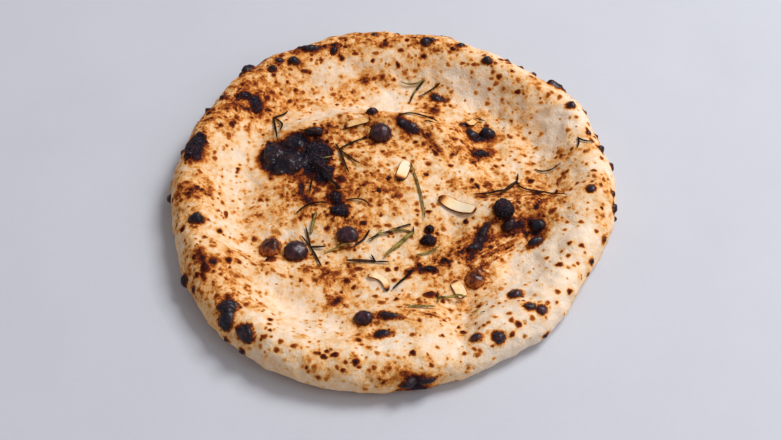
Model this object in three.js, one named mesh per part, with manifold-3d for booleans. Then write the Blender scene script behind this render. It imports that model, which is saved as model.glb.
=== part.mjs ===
import * as THREE from 'three';
import { mergeVertices } from 'three/addons/utils/BufferGeometryUtils.js';
import Module from 'manifold-3d';

// Round focaccia from a wood-fired oven: a thin dimpled bread with a swollen rim, charred
// blisters, sprigs and leaves of rosemary, and slices of garlic.
// Millimetres. +Z is up, the bread lies on z = 0, and the origin is under its middle.

// ---- Driving dimensions ----

const FACET = 7.2;               // side of a triangle of the crust
const FLOOR = 11;                // thickness of the bread inside its rim
const SHOULDER = 15;             // width of the rim's rounded shoulder
const INNER_SLOPE = 34;          // width of the slope from the rim down to the floor
const FOOT = 16;                 // how far the underside curls in below the rim
const GAP = 0.35;                // room between a topping and what it lies on

// The rim, at even steps counterclockwise from +X
const RIM_RADIUS = [
  149, 149, 153, 148, 147, 148, 149, 151, 152, 152, 148, 148,
  148, 146, 149, 152, 154, 153, 149, 146, 144, 144, 140, 145,
];
const CREST_HEIGHT = [27, 25, 27, 28, 26, 28, 27, 26, 25, 25, 24, 23];
const WIDEST_HEIGHT = [9, 9, 10, 10, 10, 9, 8, 10, 11, 9, 8, 8];

// Swells and hollows of the dough: x, y, half length, half width, turn in degrees, height
const SWELLS = [
  [-20, 20, 44, 32, 0, 12],      // broad crown, left of the middle
  [-56, 52, 20, 8, 12, 8],       // fold along the crown's back, left end
  [-14, 61, 18, 8, 0, 9],        // the fold's highest stretch
  [24, 54, 17, 8, -25, 9],       // the fold's right end
  [-10, 88, 46, 12, 0, -5],      // valley behind the fold
  [-98, 0, 11, 45, 0, -2],       // valley inside the left rim
  [66, 48, 12, 24, 12, -4],      // valley right of the crown
  [92, 84, 26, 10, -30, 4],      // swelling at the back right
  [99, 50, 13, 13, 0, -5],       // hollow below it
  [86, -15, 25, 10, 6, 12],      // scorched ridge on the right
  [56, -38, 10, 20, -35, 6],     // the ridge's tail
  [88, -62, 17, 12, 0, -4],      // hollow in front of the ridge
  [42, -108, 8, 24, -8, -8],     // notch through the front rim
  [4, -101, 26, 8, 0, 8],        // crest along the front rim
  [-90, -62, 26, 8, -20, 6],     // crest at the front left
  [-62, -88, 24, 12, -15, -5],   // bowl in front of that crest
  [-78, -44, 20, 9, 0, -3],      // hollow behind it
];

// Blisters on the top: x, y, half length, half width, turn in degrees, rise
const TOP_BLISTERS = [
  // round domes
  [-8, 45, 7.2, 7, 0, 8.5],
  [-79, -43, 7, 7, 0, 6.5],
  [-62, -47, 7.7, 7.3, 0, 8],
  [-29, -37, 7, 6.4, 0, 7],
  [72, -22, 7, 6.4, 0, 7.5],
  [52, -69, 6.3, 5.4, 0, 6],
  [55, -64, 3.2, 3.6, 0, 8],
  [-18, -102, 5.8, 5, -9, 5],
  [23, -40, 4.8, 4.3, 0, 5],
  [24, -31, 2.8, 2.8, 0, 4],
  [55, 55, 4.9, 4.1, 19, 5],
  [66, 58, 5, 4.6, 0, 5.5],
  // burnt crust on the crown
  [-75, 28, 12.5, 10.5, -31, 4.5],
  [-51, 25, 10.5, 10, -7, 4],
  [-52, 46, 5.6, 3.6, 10, 4],
  [-65, 42, 6, 6, 0, 2.5],
  [-44, 11, 5.5, 5.2, 0, 2],
  [-34, -18, 6, 5.3, 0, 3],
  [-37, -8, 4.8, 3.6, 0, 2.4],
  [-14, 62, 4, 3.2, 0, 4],
  [12, 51, 8, 3.8, -37, 2],
  // burnt streaks and domes of the ridge on the right
  [75, -30, 5.5, 3.8, 52, 4.5],
  [94, -29, 6, 4.1, -5, 4.5],
  [92, -41, 5.7, 3.7, 31, 4.5],
  [59, -36, 7.4, 2.9, 65, 2.5],
  [52, -47, 4.2, 3.1, 22, 2.5],
  // scattered
  [50, 64, 3, 2.8, 0, 2.5],
  [60, 37, 7.3, 4, 33, 2.5],
  [32, 92, 5.8, 3.4, -38, 2.5],
  [29, 78, 3.1, 3, 0, 1.8],
  [-78, -55, 3.6, 3, 0, 3],
  [24, -62, 4.8, 2.9, 0, 1.8],
  [23, -81, 3.8, 2.8, 0, 2],
  [-2, -102, 7.3, 2.6, -8, 1.8],
  [-7, -115, 5.7, 3.3, 24, 2.5],
  // along the rim
  [-60, 124, 7.3, 4, -5, 3],
  [-42, 123, 3.4, 3.1, 0, 2.4],
  [-70, 112, 4.5, 3.4, 0, 3],
  [-80, 112, 3.4, 2.8, 0, 2.2],
  [-85, 104, 3.7, 2.8, 0, 2.4],
  [25, 130, 6, 3.4, 0, 2.6],
  [49, 126, 4, 2.6, -9, 2],
  [67, 110, 3.4, 3.3, 0, 3],
  [123, 68, 3.1, 3, 0, 2.6],
  [129, -9, 3.2, 3.1, 0, 2.8],
  [-102, 79, 5.3, 3.4, 19, 2.6],
  [-95, 72, 5.3, 4, 110, 2.4],
  [-132, 29, 12, 6.7, 61, 2.8],
  [-126, -32, 5.7, 4.1, 0, 3.2],
  [-117, -71, 3.6, 3.3, 0, 2],
  [-101, -97, 5.1, 4.4, 0, 3.6],
  [-101, -108, 6.3, 5.7, 74, 3.8],
  [-89, -117, 6.8, 5.9, -14, 5],
  [8, -146, 5.3, 3.3, 4, 2.6],
  [19, -144, 5, 3, 8, 2.4],
  [76, -85, 4.4, 4.3, 0, 3.4],
  [84, -98, 3.7, 2.8, 0, 2.4],
  [91, -100, 3.2, 3, 0, 2.4],
  [64, -120, 4.1, 3.7, 6, 3],
  [50, -119, 3.9, 2.7, -20, 2.4],
];

// Blisters on the side: bearing in degrees, degrees round the side from its crest, radius, rise
const SIDE_BLISTERS = [
  [13, 45, 3, 2.6],
  [8, 67, 3, 2.6],
  [353.5, 62, 3.2, 2.8],
  [38.5, 42, 4.2, 4],
  [133.5, 47, 3.8, 3.6],
  [165.5, 82, 3.4, 2],
  [180.5, 88, 3.4, 3.4],
  [208.5, 80, 4.2, 3.2],
];
const BLISTER_SINK = 1;          // how far a blister's widest section lies under the crust
const ROUND_BLISTER = 4.5;       // from this half length up, a blister has more faces

// Leaves of rosemary and slivers of garlic are strips that turn in plan along their length.
// heading: direction at the base in degrees; bend: how far it has turned at the tip;
// sway: a further turn that comes and goes; tip: how far the tip stands up.
const LEAF = { width: 2.1, thickness: 1, bend: 0, sway: 0, tip: 0.8, twist: 14 };
const ROSEMARY = [
  { name: 'rosemary_left_back', colour: 'charred', joint: [-83, 68], leaves: [
    { heading: -80, length: 26 },
    { heading: -32, length: 22, bend: -82 },
    { heading: 22, length: 13, bend: 38 },
  ] },
  { name: 'rosemary_crown_bud', colour: 'charred', joint: [-64, 48], leaves: [
    { heading: -46, length: 17, bend: 58, width: 1.7 },
  ] },
  { name: 'rosemary_crown', colour: 'charred', joint: [-36, 31], leaves: [
    { heading: -74, length: 22, bend: 4 },
    { heading: -52, length: 20, bend: 15 },
    { heading: 30, length: 23, bend: 8, width: 1.8 },
    { heading: 118, length: 6 },
  ] },
  { name: 'rosemary_crown_broad', colour: 'charred', joint: [-54, 19], leaves: [
    { heading: -49, length: 30, width: 3.6, thickness: 1.4 },
  ] },
  { name: 'rosemary_crown_brown', colour: 'charred', joint: [-53, 7], leaves: [
    { heading: -106, length: 12, bend: 16, width: 1.6 },
  ] },
  { name: 'rosemary_back_pair', colour: 'green', joint: [23, 105], leaves: [
    { heading: 204, length: 18, bend: -50 },
    { heading: -141, length: 21, bend: 42, width: 2.4 },
  ] },
  { name: 'rosemary_back', colour: 'green', joint: [34, 102], leaves: [
    { heading: -150, length: 18, bend: 4, width: 1.7 },
  ] },
  { name: 'rosemary_fold', colour: 'charred', joint: [4, 59], leaves: [
    { heading: 25, length: 29, bend: -62, width: 1.9 },
  ] },
  { name: 'rosemary_left', colour: 'charred', joint: [-63, -18], leaves: [
    { heading: 50, length: 23, bend: -72, width: 1.7 },
  ] },
  { name: 'rosemary_neck', colour: 'charred', joint: [-30, -11], leaves: [
    { heading: 26, length: 17, bend: -84, width: 1.7 },
  ] },
  { name: 'rosemary_left_broad', colour: 'green', joint: [-50, -18], leaves: [
    { heading: -101, length: 17, width: 2.8 },
  ] },
  { name: 'rosemary_left_sprig', colour: 'green', joint: [-53, -43], leaves: [
    { heading: 104, length: 15, width: 1.8 },
    { heading: 128, length: 10, width: 1.6 },
    { heading: -8, length: 10, width: 1.8 },
    { heading: -66, length: 19, width: 1.8 },
  ] },
  { name: 'rosemary_left_pale', colour: 'green', joint: [-44, -49], leaves: [
    { heading: 33, length: 21, bend: -46, width: 1.8 },
  ] },
  { name: 'rosemary_middle_dark', colour: 'charred', joint: [-15, -32], leaves: [
    { heading: -109, length: 17, bend: -32, width: 2.2 },
  ] },
  { name: 'rosemary_middle_small', colour: 'green', joint: [-7, -32], leaves: [
    { heading: -125, length: 12, bend: -8, width: 2 },
  ] },
  { name: 'rosemary_front_sprig', colour: 'charred', joint: [-11, -56], leaves: [
    { heading: 176, length: 19, bend: 4, width: 2.8 },
    { heading: -4, length: 9, width: 1.6 },
    { heading: 118, length: 6, width: 1.7 },
  ] },
  { name: 'rosemary_middle_sprig', colour: 'green', joint: [13.5, -34], leaves: [
    { heading: -143, length: 27, bend: 18, width: 3.8, thickness: 1.4 },
    { heading: 156, length: 17, bend: 44, width: 2 },
    { heading: 92, length: 5, width: 1.6 },
  ] },
  { name: 'rosemary_middle_long', colour: 'green', joint: [12, -27], leaves: [
    { heading: -158, length: 31, bend: 6, width: 2.2 },
  ] },
  { name: 'rosemary_long', colour: 'green', joint: [12, 18], leaves: [
    { heading: -69, length: 42, bend: -17, width: 2 },
  ] },
  { name: 'rosemary_right_sprig', colour: 'charred', joint: [83.5, 11], leaves: [
    { heading: -137, length: 23, bend: 24, width: 2.8 },
    { heading: -122, length: 36, bend: -62, width: 2.2 },
    { heading: -88, length: 40, bend: 48, sway: 42, width: 1.9 },
    { heading: 82, length: 8, width: 1.6 },
  ] },
  { name: 'rosemary_right_thin', colour: 'charred', joint: [96, 23], leaves: [
    { heading: -36, length: 18, bend: 64, width: 1.6 },
  ] },
  { name: 'rosemary_middle_pale', colour: 'green', joint: [15.5, -51], leaves: [
    { heading: 11, length: 16, bend: 20, width: 2.1 },
  ] },
  { name: 'rosemary_front_curled', colour: 'charred', joint: [13, -63], leaves: [
    { heading: -129, length: 20, bend: -6, width: 2.2 },
  ] },
  { name: 'rosemary_front_right', colour: 'green', joint: [28.5, -83], leaves: [
    { heading: 4, length: 18, bend: 1, width: 2.6 },
    { heading: -92, length: 5, width: 1.7 },
    { heading: 96, length: 4, width: 1.6 },
  ] },
  { name: 'rosemary_front', colour: 'green', joint: [9.5, -95], leaves: [
    { heading: 16, length: 17, bend: -18, width: 2.3 },
  ] },
  { name: 'rosemary_rim_pair', colour: 'charred', joint: [125, 39], leaves: [
    { heading: -66, length: 14, bend: 110, width: 1.8, tip: 0.4 },
    { heading: -76, length: 11, bend: -44, width: 1.7 },
  ] },
];

const SLICE = { width: 8, thickness: 1.8, bend: 0, sway: 0, tip: 0, twist: 0 };
const GARLIC = [
  { name: 'garlic_long', from: [30.5, -6.5], heading: -31, length: 28, bend: -3, width: 8.6 },
  { name: 'garlic_middle', from: [9.5, 21], heading: -104, length: 17, bend: -6, width: 8 },
  { name: 'garlic_front', from: [38.5, -71], heading: -58, length: 12, width: 8 },
  { name: 'garlic_curl', from: [-16, -67], heading: 10, length: 20, bend: -108, width: 4.4 },
  { name: 'garlic_sliver', from: [-33, 49], heading: 24, length: 19, bend: -10, width: 4 },
  { name: 'garlic_caught', from: [52, 62], heading: 50, length: 10, width: 5 },
];

const COLOURS = { crust: 0xe6bf8a, charred: 0x2b2224, green: 0x6e6a3e, garlic: 0xf1dfb4 };
const ROUGHNESS = { crust: 0.8, charred: 0.6, green: 0.65, garlic: 0.5 };

// ---- Form of the crust ----

const FULL_TURN = 2 * Math.PI;
const QUARTER_TURN = Math.PI / 2;
const UP = new THREE.Vector3(0, 0, 1);
const radians = THREE.MathUtils.degToRad;

// Value at an angle, on a smooth closed curve through values at even steps
function around(values, angle) {
  const count = values.length;
  const place = THREE.MathUtils.euclideanModulo(angle / FULL_TURN, 1) * count;
  const step = Math.floor(place);
  const t = place - step;
  const [a, b, c, d] = [-1, 0, 1, 2].map((k) => values[(step + k + count) % count]);
  const bow = 2 * a - 5 * b + 4 * c - d;
  const skew = 3 * b - a - 3 * c + d;
  return 0.5 * (2 * b + (c - a) * t + bow * t ** 2 + skew * t ** 3);
}

function swelling(x, y) {
  let height = 0;
  for (const [midX, midY, halfLength, halfWidth, turn, rise] of SWELLS) {
    const cos = Math.cos(radians(turn));
    const sin = Math.sin(radians(turn));
    const along = ((x - midX) * cos + (y - midY) * sin) / halfLength;
    const across = ((y - midY) * cos - (x - midX) * sin) / halfWidth;
    height += rise * Math.exp(-0.5 * (along ** 2 + across ** 2));
  }
  return height;
}

// Height of the upper crust, out to the rim's widest line
function crustHeight(x, y) {
  const angle = Math.atan2(y, x);
  const inward = around(RIM_RADIUS, angle) - Math.hypot(x, y);
  const slope = 1 - THREE.MathUtils.smoothstep(inward - SHOULDER, 0, INNER_SLOPE);
  const full = FLOOR + (around(CREST_HEIGHT, angle) - FLOOR) * slope + swelling(x, y);
  if (inward >= SHOULDER) {
    return full;
  }
  const outward = 1 - inward / SHOULDER;
  const widest = around(WIDEST_HEIGHT, angle);
  return widest + (full - widest) * Math.sqrt(Math.max(0, 1 - outward ** 2));
}

function crustPoint(x, y) {
  return new THREE.Vector3(x, y, crustHeight(x, y));
}

function crustNormal(x, y) {
  const reach = 1;
  const fallX = crustHeight(x - reach, y) - crustHeight(x + reach, y);
  const fallY = crustHeight(x, y - reach) - crustHeight(x, y + reach);
  return new THREE.Vector3(fallX, fallY, 2 * reach).normalize();
}

// Point of the rim: drop is 0 on its crest and a quarter turn on its widest line
function shoulderPoint(bearing, drop) {
  const radius = around(RIM_RADIUS, bearing) - SHOULDER * (1 - Math.sin(drop));
  return crustPoint(radius * Math.cos(bearing), radius * Math.sin(bearing));
}

// ---- Meshes ----

const wasm = await Module();
wasm.setup();

function solidOf(points, faces) {
  const vertProperties = new Float32Array(points.flatMap((point) => point.toArray()));
  const triVerts = new Uint32Array(faces.flat());
  return new wasm.Manifold(new wasm.Mesh({ numProp: 3, vertProperties, triVerts }));
}

function geometryOf(solid) {
  const { vertProperties, triVerts } = solid.getMesh();
  const geometry = new THREE.BufferGeometry();
  geometry.setAttribute('position', new THREE.BufferAttribute(vertProperties, 3));
  geometry.setIndex(new THREE.BufferAttribute(triVerts, 1));
  geometry.computeVertexNormals();
  return geometry;
}

// Faces between rings of points, each ring from angle 0 and with its own number of points
function stitch(rings) {
  const points = [];
  const faces = [];
  let start = 0;
  rings.forEach((ring, level) => {
    points.push(...ring);
    const next = rings[level + 1];
    if (next) {
      const inner = (i) => start + (i % ring.length);
      const outer = (j) => start + ring.length + (j % next.length);
      const innerSteps = ring.length === 1 ? 0 : ring.length;
      let i = 0;
      let j = 0;
      while (i < innerSteps || j < next.length) {
        const outerFirst = (j + 1) / next.length <= (i + 1) / ring.length;
        if (j < next.length && (i >= innerSteps || outerFirst)) {
          faces.push([inner(i), outer(j), outer(j + 1)]);
          j += 1;
        } else {
          faces.push([inner(i), outer(j), inner(i + 1)]);
          i += 1;
        }
      }
    }
    start += ring.length;
  });
  return { points, faces };
}

function ringOf(count, pointAt) {
  return Array.from({ length: count }, (_, i) => pointAt((FULL_TURN * i) / count));
}

// ---- Bread ----

const SHOULDER_STEPS = 4;
const FOOT_STEPS = 3;
const UNDERSIDE_RINGS = [[36, 80], [5, 30]];     // points and radius of the rings under the bread

function breadRings() {
  const meanRadius = RIM_RADIUS.reduce((sum, r) => sum + r) / RIM_RADIUS.length;
  const rimCount = Math.round((FULL_TURN * meanRadius) / FACET);
  const rows = Math.round((meanRadius - SHOULDER) / (FACET * Math.sin(Math.PI / 3)));
  const rings = [[crustPoint(0, 0)]];
  for (let row = 1; row <= rows; row++) {
    const share = row / rows;
    const count = Math.max(6, Math.round(share * rimCount));
    rings.push(ringOf(count, (angle) => {
      const radius = share * (around(RIM_RADIUS, angle) - SHOULDER);
      return crustPoint(radius * Math.cos(angle), radius * Math.sin(angle));
    }));
  }
  for (let step = 1; step <= SHOULDER_STEPS; step++) {
    const drop = (QUARTER_TURN * step) / SHOULDER_STEPS;
    rings.push(ringOf(rimCount, (angle) => shoulderPoint(angle, drop)));
  }
  for (let step = 1; step <= FOOT_STEPS; step++) {
    const curl = (QUARTER_TURN * step) / FOOT_STEPS;
    rings.push(ringOf(rimCount, (angle) => {
      const radius = around(RIM_RADIUS, angle) - FOOT * (1 - Math.cos(curl));
      const height = around(WIDEST_HEIGHT, angle) * (1 - Math.sin(curl));
      return new THREE.Vector3(radius * Math.cos(angle), radius * Math.sin(angle), height);
    }));
  }
  for (const [count, radius] of UNDERSIDE_RINGS) {
    rings.push(ringOf(count, (angle) => (
      new THREE.Vector3(radius * Math.cos(angle), radius * Math.sin(angle), 0)
    )));
  }
  return rings;
}

function plainBread() {
  const rings = breadRings();
  const { points, faces } = stitch(rings);
  const last = rings.at(-1);
  const first = points.length - last.length;
  for (let i = 1; i < last.length - 1; i++) {
    faces.push([first, first + i + 1, first + i]);
  }
  return solidOf(points, faces);
}

// A squashed ball whose upper half stands out of the crust at a point
function blister(point, normal, halfLength, halfWidth, turn, rise) {
  const round = halfLength >= ROUND_BLISTER;
  const ball = round ? new THREE.IcosahedronGeometry(1, 1) : new THREE.OctahedronGeometry(1, 1);
  ball.deleteAttribute('normal');
  ball.deleteAttribute('uv');
  const shape = mergeVertices(ball);
  const lie = new THREE.Quaternion().setFromUnitVectors(UP, normal);
  const spin = new THREE.Quaternion().setFromAxisAngle(UP, radians(turn));
  const centre = point.clone().addScaledVector(normal, -BLISTER_SINK);
  const place = shape.getAttribute('position');
  const points = [];
  for (let i = 0; i < place.count; i++) {
    const corner = new THREE.Vector3().fromBufferAttribute(place, i);
    const height = corner.z > 0 ? rise + BLISTER_SINK : 2 * BLISTER_SINK;
    corner.multiply(new THREE.Vector3(halfLength, halfWidth, height));
    points.push(corner.applyQuaternion(spin).applyQuaternion(lie).add(centre));
  }
  const index = Array.from(shape.getIndex().array);
  const faces = [];
  for (let i = 0; i < index.length; i += 3) {
    faces.push(index.slice(i, i + 3));
  }
  return solidOf(points, faces);
}

function blisteredBread() {
  let bread = plainBread();
  for (const [x, y, halfLength, halfWidth, turn, rise] of TOP_BLISTERS) {
    const dome = blister(crustPoint(x, y), crustNormal(x, y), halfLength, halfWidth, turn, rise);
    bread = bread.add(dome);
  }
  for (const [bearing, drop, radius, rise] of SIDE_BLISTERS) {
    const angle = radians(bearing);
    const tilt = radians(drop);
    const normal = new THREE.Vector3(
      Math.sin(tilt) * Math.cos(angle),
      Math.sin(tilt) * Math.sin(angle),
      Math.cos(tilt),
    );
    bread = bread.add(blister(shoulderPoint(angle, tilt), normal, radius, radius, 0, rise));
  }
  return bread;
}

// ---- Toppings, laid down one after another on what is already there ----

const SKY = 200;
const SAMPLES = 4;               // ground samples for each step of a strip
const SAG = 0.5;                 // how far a strip's points may hang below their neighbours' mean
const laid = [];
const plumb = new THREE.Raycaster();

function groundAt(x, y) {
  plumb.set(new THREE.Vector3(x, y, SKY), new THREE.Vector3(0, 0, -1));
  const hits = plumb.intersectObjects(laid);
  return hits.length > 0 ? hits[0].point.z : 0;
}

// Plan of a strip: points at the given shares of its length, with the direction at each
function planOf(strip, from, shares) {
  const pieces = 60;
  const route = [{ x: from[0], y: from[1] }];
  for (let i = 0; i < pieces; i++) {
    const share = (i + 0.5) / pieces;
    const heading = radians(headingAt(strip, share));
    const last = route.at(-1);
    const step = strip.length / pieces;
    route.push({ x: last.x + step * Math.cos(heading), y: last.y + step * Math.sin(heading) });
  }
  return shares.map((share) => {
    const heading = radians(headingAt(strip, share));
    const place = share * pieces;
    const piece = Math.min(pieces - 1, Math.floor(place));
    const x = THREE.MathUtils.lerp(route[piece].x, route[piece + 1].x, place - piece);
    const y = THREE.MathUtils.lerp(route[piece].y, route[piece + 1].y, place - piece);
    return { share, x, y, dx: Math.cos(heading), dy: Math.sin(heading) };
  });
}

function headingAt(strip, share) {
  return strip.heading + strip.bend * share + strip.sway * Math.sin(Math.PI * share);
}

// Heights of a strip's middle line that keep it clear of the ground, and stiff
function restingHeights(plan, fine, halfWidth, tilt) {
  const reach = halfWidth + GAP;
  const ground = fine.map(({ x, y, dx, dy }) => Math.max(...[-1, -0.5, 0, 0.5, 1].map((side) => {
    const offset = side * reach;
    return groundAt(x - dy * offset, y + dx * offset) - offset * tilt;
  })));
  const heights = plan.map((_, i) => ground[i * SAMPLES]);
  for (let pass = 0; pass < 3; pass++) {
    for (let i = 0; i + 1 < heights.length; i++) {
      for (let k = 1; k < SAMPLES; k++) {
        const line = THREE.MathUtils.lerp(heights[i], heights[i + 1], k / SAMPLES);
        const lift = Math.max(0, ground[i * SAMPLES + k] - line);
        heights[i] += lift;
        heights[i + 1] += lift;
      }
    }
  }
  for (let pass = 0; pass < 60; pass++) {
    for (let i = 1; i + 1 < heights.length; i++) {
      heights[i] = Math.max(heights[i], (heights[i - 1] + heights[i + 1]) / 2 - SAG);
    }
  }
  return heights;
}

// A strip's sections, as rings of points round its middle line
function stripRings(strip, from, shares, outline, widthAt, tilt) {
  const fineShares = [];
  for (let i = 0; i + 1 < shares.length; i++) {
    for (let k = 0; k < SAMPLES; k++) {
      fineShares.push(THREE.MathUtils.lerp(shares[i], shares[i + 1], k / SAMPLES));
    }
  }
  fineShares.push(1);
  const plan = planOf(strip, from, shares);
  const halfWidth = strip.width / 2;
  const heights = restingHeights(plan, planOf(strip, from, fineShares), halfWidth, tilt);
  const roll = Math.atan(tilt);
  return plan.map(({ share, x, y, dx, dy }, i) => {
    const twist = roll + radians(strip.twist) * Math.sin(FULL_TURN * share);
    const clear = GAP + strip.thickness / 2 + halfWidth * Math.abs(Math.sin(twist - roll));
    const height = heights[i] + clear + strip.tip * share ** 2;
    return outline.map(([across, up]) => {
      const side = across * halfWidth * widthAt(share);
      const rise = (up * strip.thickness * Math.sqrt(widthAt(share))) / 2;
      const out = side * Math.cos(twist) - rise * Math.sin(twist);
      const high = side * Math.sin(twist) + rise * Math.cos(twist);
      return new THREE.Vector3(x - dy * out, y + dx * out, height + high);
    });
  });
}

function closedStrip(rings) {
  const size = rings[0].length;
  const points = rings.flat();
  const faces = [];
  for (let level = 0; level + 1 < rings.length; level++) {
    for (let i = 0; i < size; i++) {
      const j = (i + 1) % size;
      const near = level * size;
      const far = near + size;
      faces.push([near + i, far + i, far + j], [near + i, far + j, near + j]);
    }
  }
  const end = points.length - size;
  for (let i = 1; i + 1 < size; i++) {
    faces.push([0, i, i + 1], [end, end + i + 1, end + i]);
  }
  return solidOf(points, faces);
}

function evenShares(steps) {
  return Array.from({ length: steps + 1 }, (_, i) => i / steps);
}

// ---- Rosemary ----

const LEAF_STEP = 4.2;
const LEAF_OUTLINE = [[-1, 0], [0, 1], [1, 0], [0, -1]];
const LEAF_TIP = 0.25;           // width of the tip, as a share of the leaf's width

function leafWidth(share) {
  return LEAF_TIP + (1 - LEAF_TIP) * Math.sqrt(Math.sin(Math.PI * (0.1 + 0.9 * share)));
}

function leafSolid(leaf, joint) {
  const strip = { ...LEAF, ...leaf };
  const steps = Math.max(2, Math.round(strip.length / LEAF_STEP));
  return closedStrip(stripRings(strip, joint, evenShares(steps), LEAF_OUTLINE, leafWidth, 0));
}

function sprigSolid({ joint, leaves }) {
  return leaves.map((leaf) => leafSolid(leaf, joint)).reduce((sprig, leaf) => sprig.add(leaf));
}

// ---- Garlic ----

const SLICE_STEPS = 6;
const SLICE_OUTLINE = [[-1, 0], [-0.86, 1], [0, 1], [0.86, 1], [1, 0], [0.86, -1], [0, -1], [-0.86, -1]];

function sliceWidth(share) {
  return Math.max(0.4, (1 - Math.abs(2 * share - 1) ** 4) ** 0.5);
}

function sliceSolid(slice) {
  const strip = { ...SLICE, ...slice };
  const shares = evenShares(SLICE_STEPS).map((share) => (1 - Math.cos(Math.PI * share)) / 2);
  const [middle] = planOf(strip, strip.from, [0.5]);
  const half = strip.width / 2;
  const left = groundAt(middle.x - middle.dy * half, middle.y + middle.dx * half);
  const right = groundAt(middle.x + middle.dy * half, middle.y - middle.dx * half);
  const tilt = (left - right) / strip.width;
  return closedStrip(stripRings(strip, strip.from, shares, SLICE_OUTLINE, sliceWidth, tilt));
}

// ---- The focaccia ----

const group = new THREE.Group();

function addPiece(name, finish, solid) {
  if (solid.decompose().length !== 1) {
    throw new Error(`${name} is not in one piece`);
  }
  const material = new THREE.MeshStandardMaterial({
    color: COLOURS[finish],
    roughness: ROUGHNESS[finish],
    metalness: 0,
  });
  const mesh = new THREE.Mesh(geometryOf(solid), material);
  mesh.name = name;
  mesh.updateMatrixWorld();
  laid.push(mesh);
  group.add(mesh);
}

addPiece('bread', 'crust', blisteredBread());
for (const slice of GARLIC) {
  addPiece(slice.name, 'garlic', sliceSolid(slice));
}
for (const sprig of ROSEMARY) {
  addPiece(sprig.name, sprig.colour, sprigSolid(sprig));
}

export default group;
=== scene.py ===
"""Round wood-fired focaccia with charred blisters, rosemary and garlic, on a plain pale floor."""

import math
import random

import bmesh
import bpy
import numpy as np
from bpy.props import FloatProperty, FloatVectorProperty, IntProperty, PointerProperty
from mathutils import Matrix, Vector, noise
from mathutils.bvhtree import BVHTree


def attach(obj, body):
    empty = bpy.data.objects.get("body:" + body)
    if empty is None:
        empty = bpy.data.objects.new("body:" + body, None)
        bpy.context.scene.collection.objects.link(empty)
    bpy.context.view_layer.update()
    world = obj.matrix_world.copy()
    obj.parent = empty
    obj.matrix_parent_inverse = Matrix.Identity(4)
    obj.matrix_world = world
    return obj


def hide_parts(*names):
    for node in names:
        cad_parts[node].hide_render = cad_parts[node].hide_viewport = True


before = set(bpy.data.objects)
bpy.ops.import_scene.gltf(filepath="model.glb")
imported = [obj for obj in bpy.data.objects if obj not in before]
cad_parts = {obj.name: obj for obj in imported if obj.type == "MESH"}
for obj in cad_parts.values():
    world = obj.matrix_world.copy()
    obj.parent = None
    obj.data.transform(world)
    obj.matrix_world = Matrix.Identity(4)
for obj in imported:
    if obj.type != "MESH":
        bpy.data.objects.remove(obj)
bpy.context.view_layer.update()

bl_info = {
    "name": "Wood-fired focaccia",
    "version": (1, 0, 0),
    "blender": (4, 5, 0),
    "location": "3D View > Sidebar > Focaccia",
    "description": "Builds a round focaccia with its blisters, rosemary and garlic",
    "category": "Add Mesh",
}

MM = 0.001
FULL_TURN = 2 * math.pi
QUARTER_TURN = math.pi / 2
PHOTO_SIZE = (781, 440)

# ---------------------------------------------------------------------------
# The bread's form, in millimetres
# ---------------------------------------------------------------------------

FLOOR = 11.0  # thickness of the bread inside its rim
SHOULDER = 15.0  # width of the rim's rounded shoulder
INNER_SLOPE = 34.0  # width of the slope from the rim down to the floor
FOOT = 16.0  # how far the underside curls in below the rim
SHOULDER_CURVE = 24.0  # length of the shoulder's curve, from crest to widest line
FOOT_CURVE = 20.0  # length of the foot's curve, from the widest line to the underside
UNDERSIDE_RINGS = (0.84, 0.68, 0.52, 0.36, 0.2, 0.08)

# The rim, at even steps counterclockwise from +X
RIM_RADIUS = (
    149, 149, 153, 148, 147, 148, 149, 151, 152, 152, 148, 148,
    148, 146, 149, 152, 154, 153, 149, 146, 144, 144, 140, 145,
)
CREST_HEIGHT = (27, 25, 27, 28, 26, 28, 27, 26, 25, 25, 24, 23)
WIDEST_HEIGHT = (9, 9, 10, 10, 10, 9, 8, 10, 11, 9, 8, 8)

# Swells and hollows of the dough: x, y, half length, half width, turn in degrees, height
SWELLS = (
    (-20, 20, 44, 32, 0, 12),  # broad crown, left of the middle
    (-56, 52, 20, 8, 12, 8),  # fold along the crown's back, left end
    (-14, 61, 18, 8, 0, 9),  # the fold's highest stretch
    (24, 54, 17, 8, -25, 9),  # the fold's right end
    (-10, 88, 46, 12, 0, -5),  # valley behind the fold
    (-98, 0, 11, 45, 0, -2),  # valley inside the left rim
    (66, 48, 12, 24, 12, -4),  # valley right of the crown
    (92, 84, 26, 10, -30, 4),  # swelling at the back right
    (99, 50, 13, 13, 0, -5),  # hollow below it
    (86, -15, 25, 10, 6, 12),  # scorched ridge on the right
    (56, -38, 10, 20, -35, 6),  # the ridge's tail
    (88, -62, 17, 12, 0, -4),  # hollow in front of the ridge
    (42, -108, 8, 24, -8, -8),  # notch through the front rim
    (4, -101, 26, 8, 0, 8),  # crest along the front rim
    (-90, -62, 26, 8, -20, 6),  # crest at the front left
    (-62, -88, 24, 12, -15, -5),  # bowl in front of that crest
    (-78, -44, 20, 9, 0, -3),  # hollow behind it
)

# Narrow folds of the skin, by the same numbers
CREASES = (
    (-47, -105, 12, 1.7, -33, 1.0), (-18, -113, 14, 1.8, 47, 1.1), (-87, -60, 18, 1.6, -24, 0.9),
    (-62, -118, 10, 1.6, -10, 0.7), (-4, 74, 13, 1.5, 48, -0.9), (9, 77, 12, 1.6, 28, -0.8),
    (107, 69, 13, 1.4, 3, 0.9), (70, -47, 16, 1.5, 38, 1.0), (78, -50, 12, 1.6, 30, 0.8),
    (42, -92, 12, 2, 78, 0.8), (-112, 44, 14, 1.7, 68, 0.8), (88, -100, 12, 1.8, 40, 0.6),
    (-72, 108, 16, 1.8, 28, 0.8), (50, 108, 14, 1.8, -35, 0.7),
)

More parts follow.
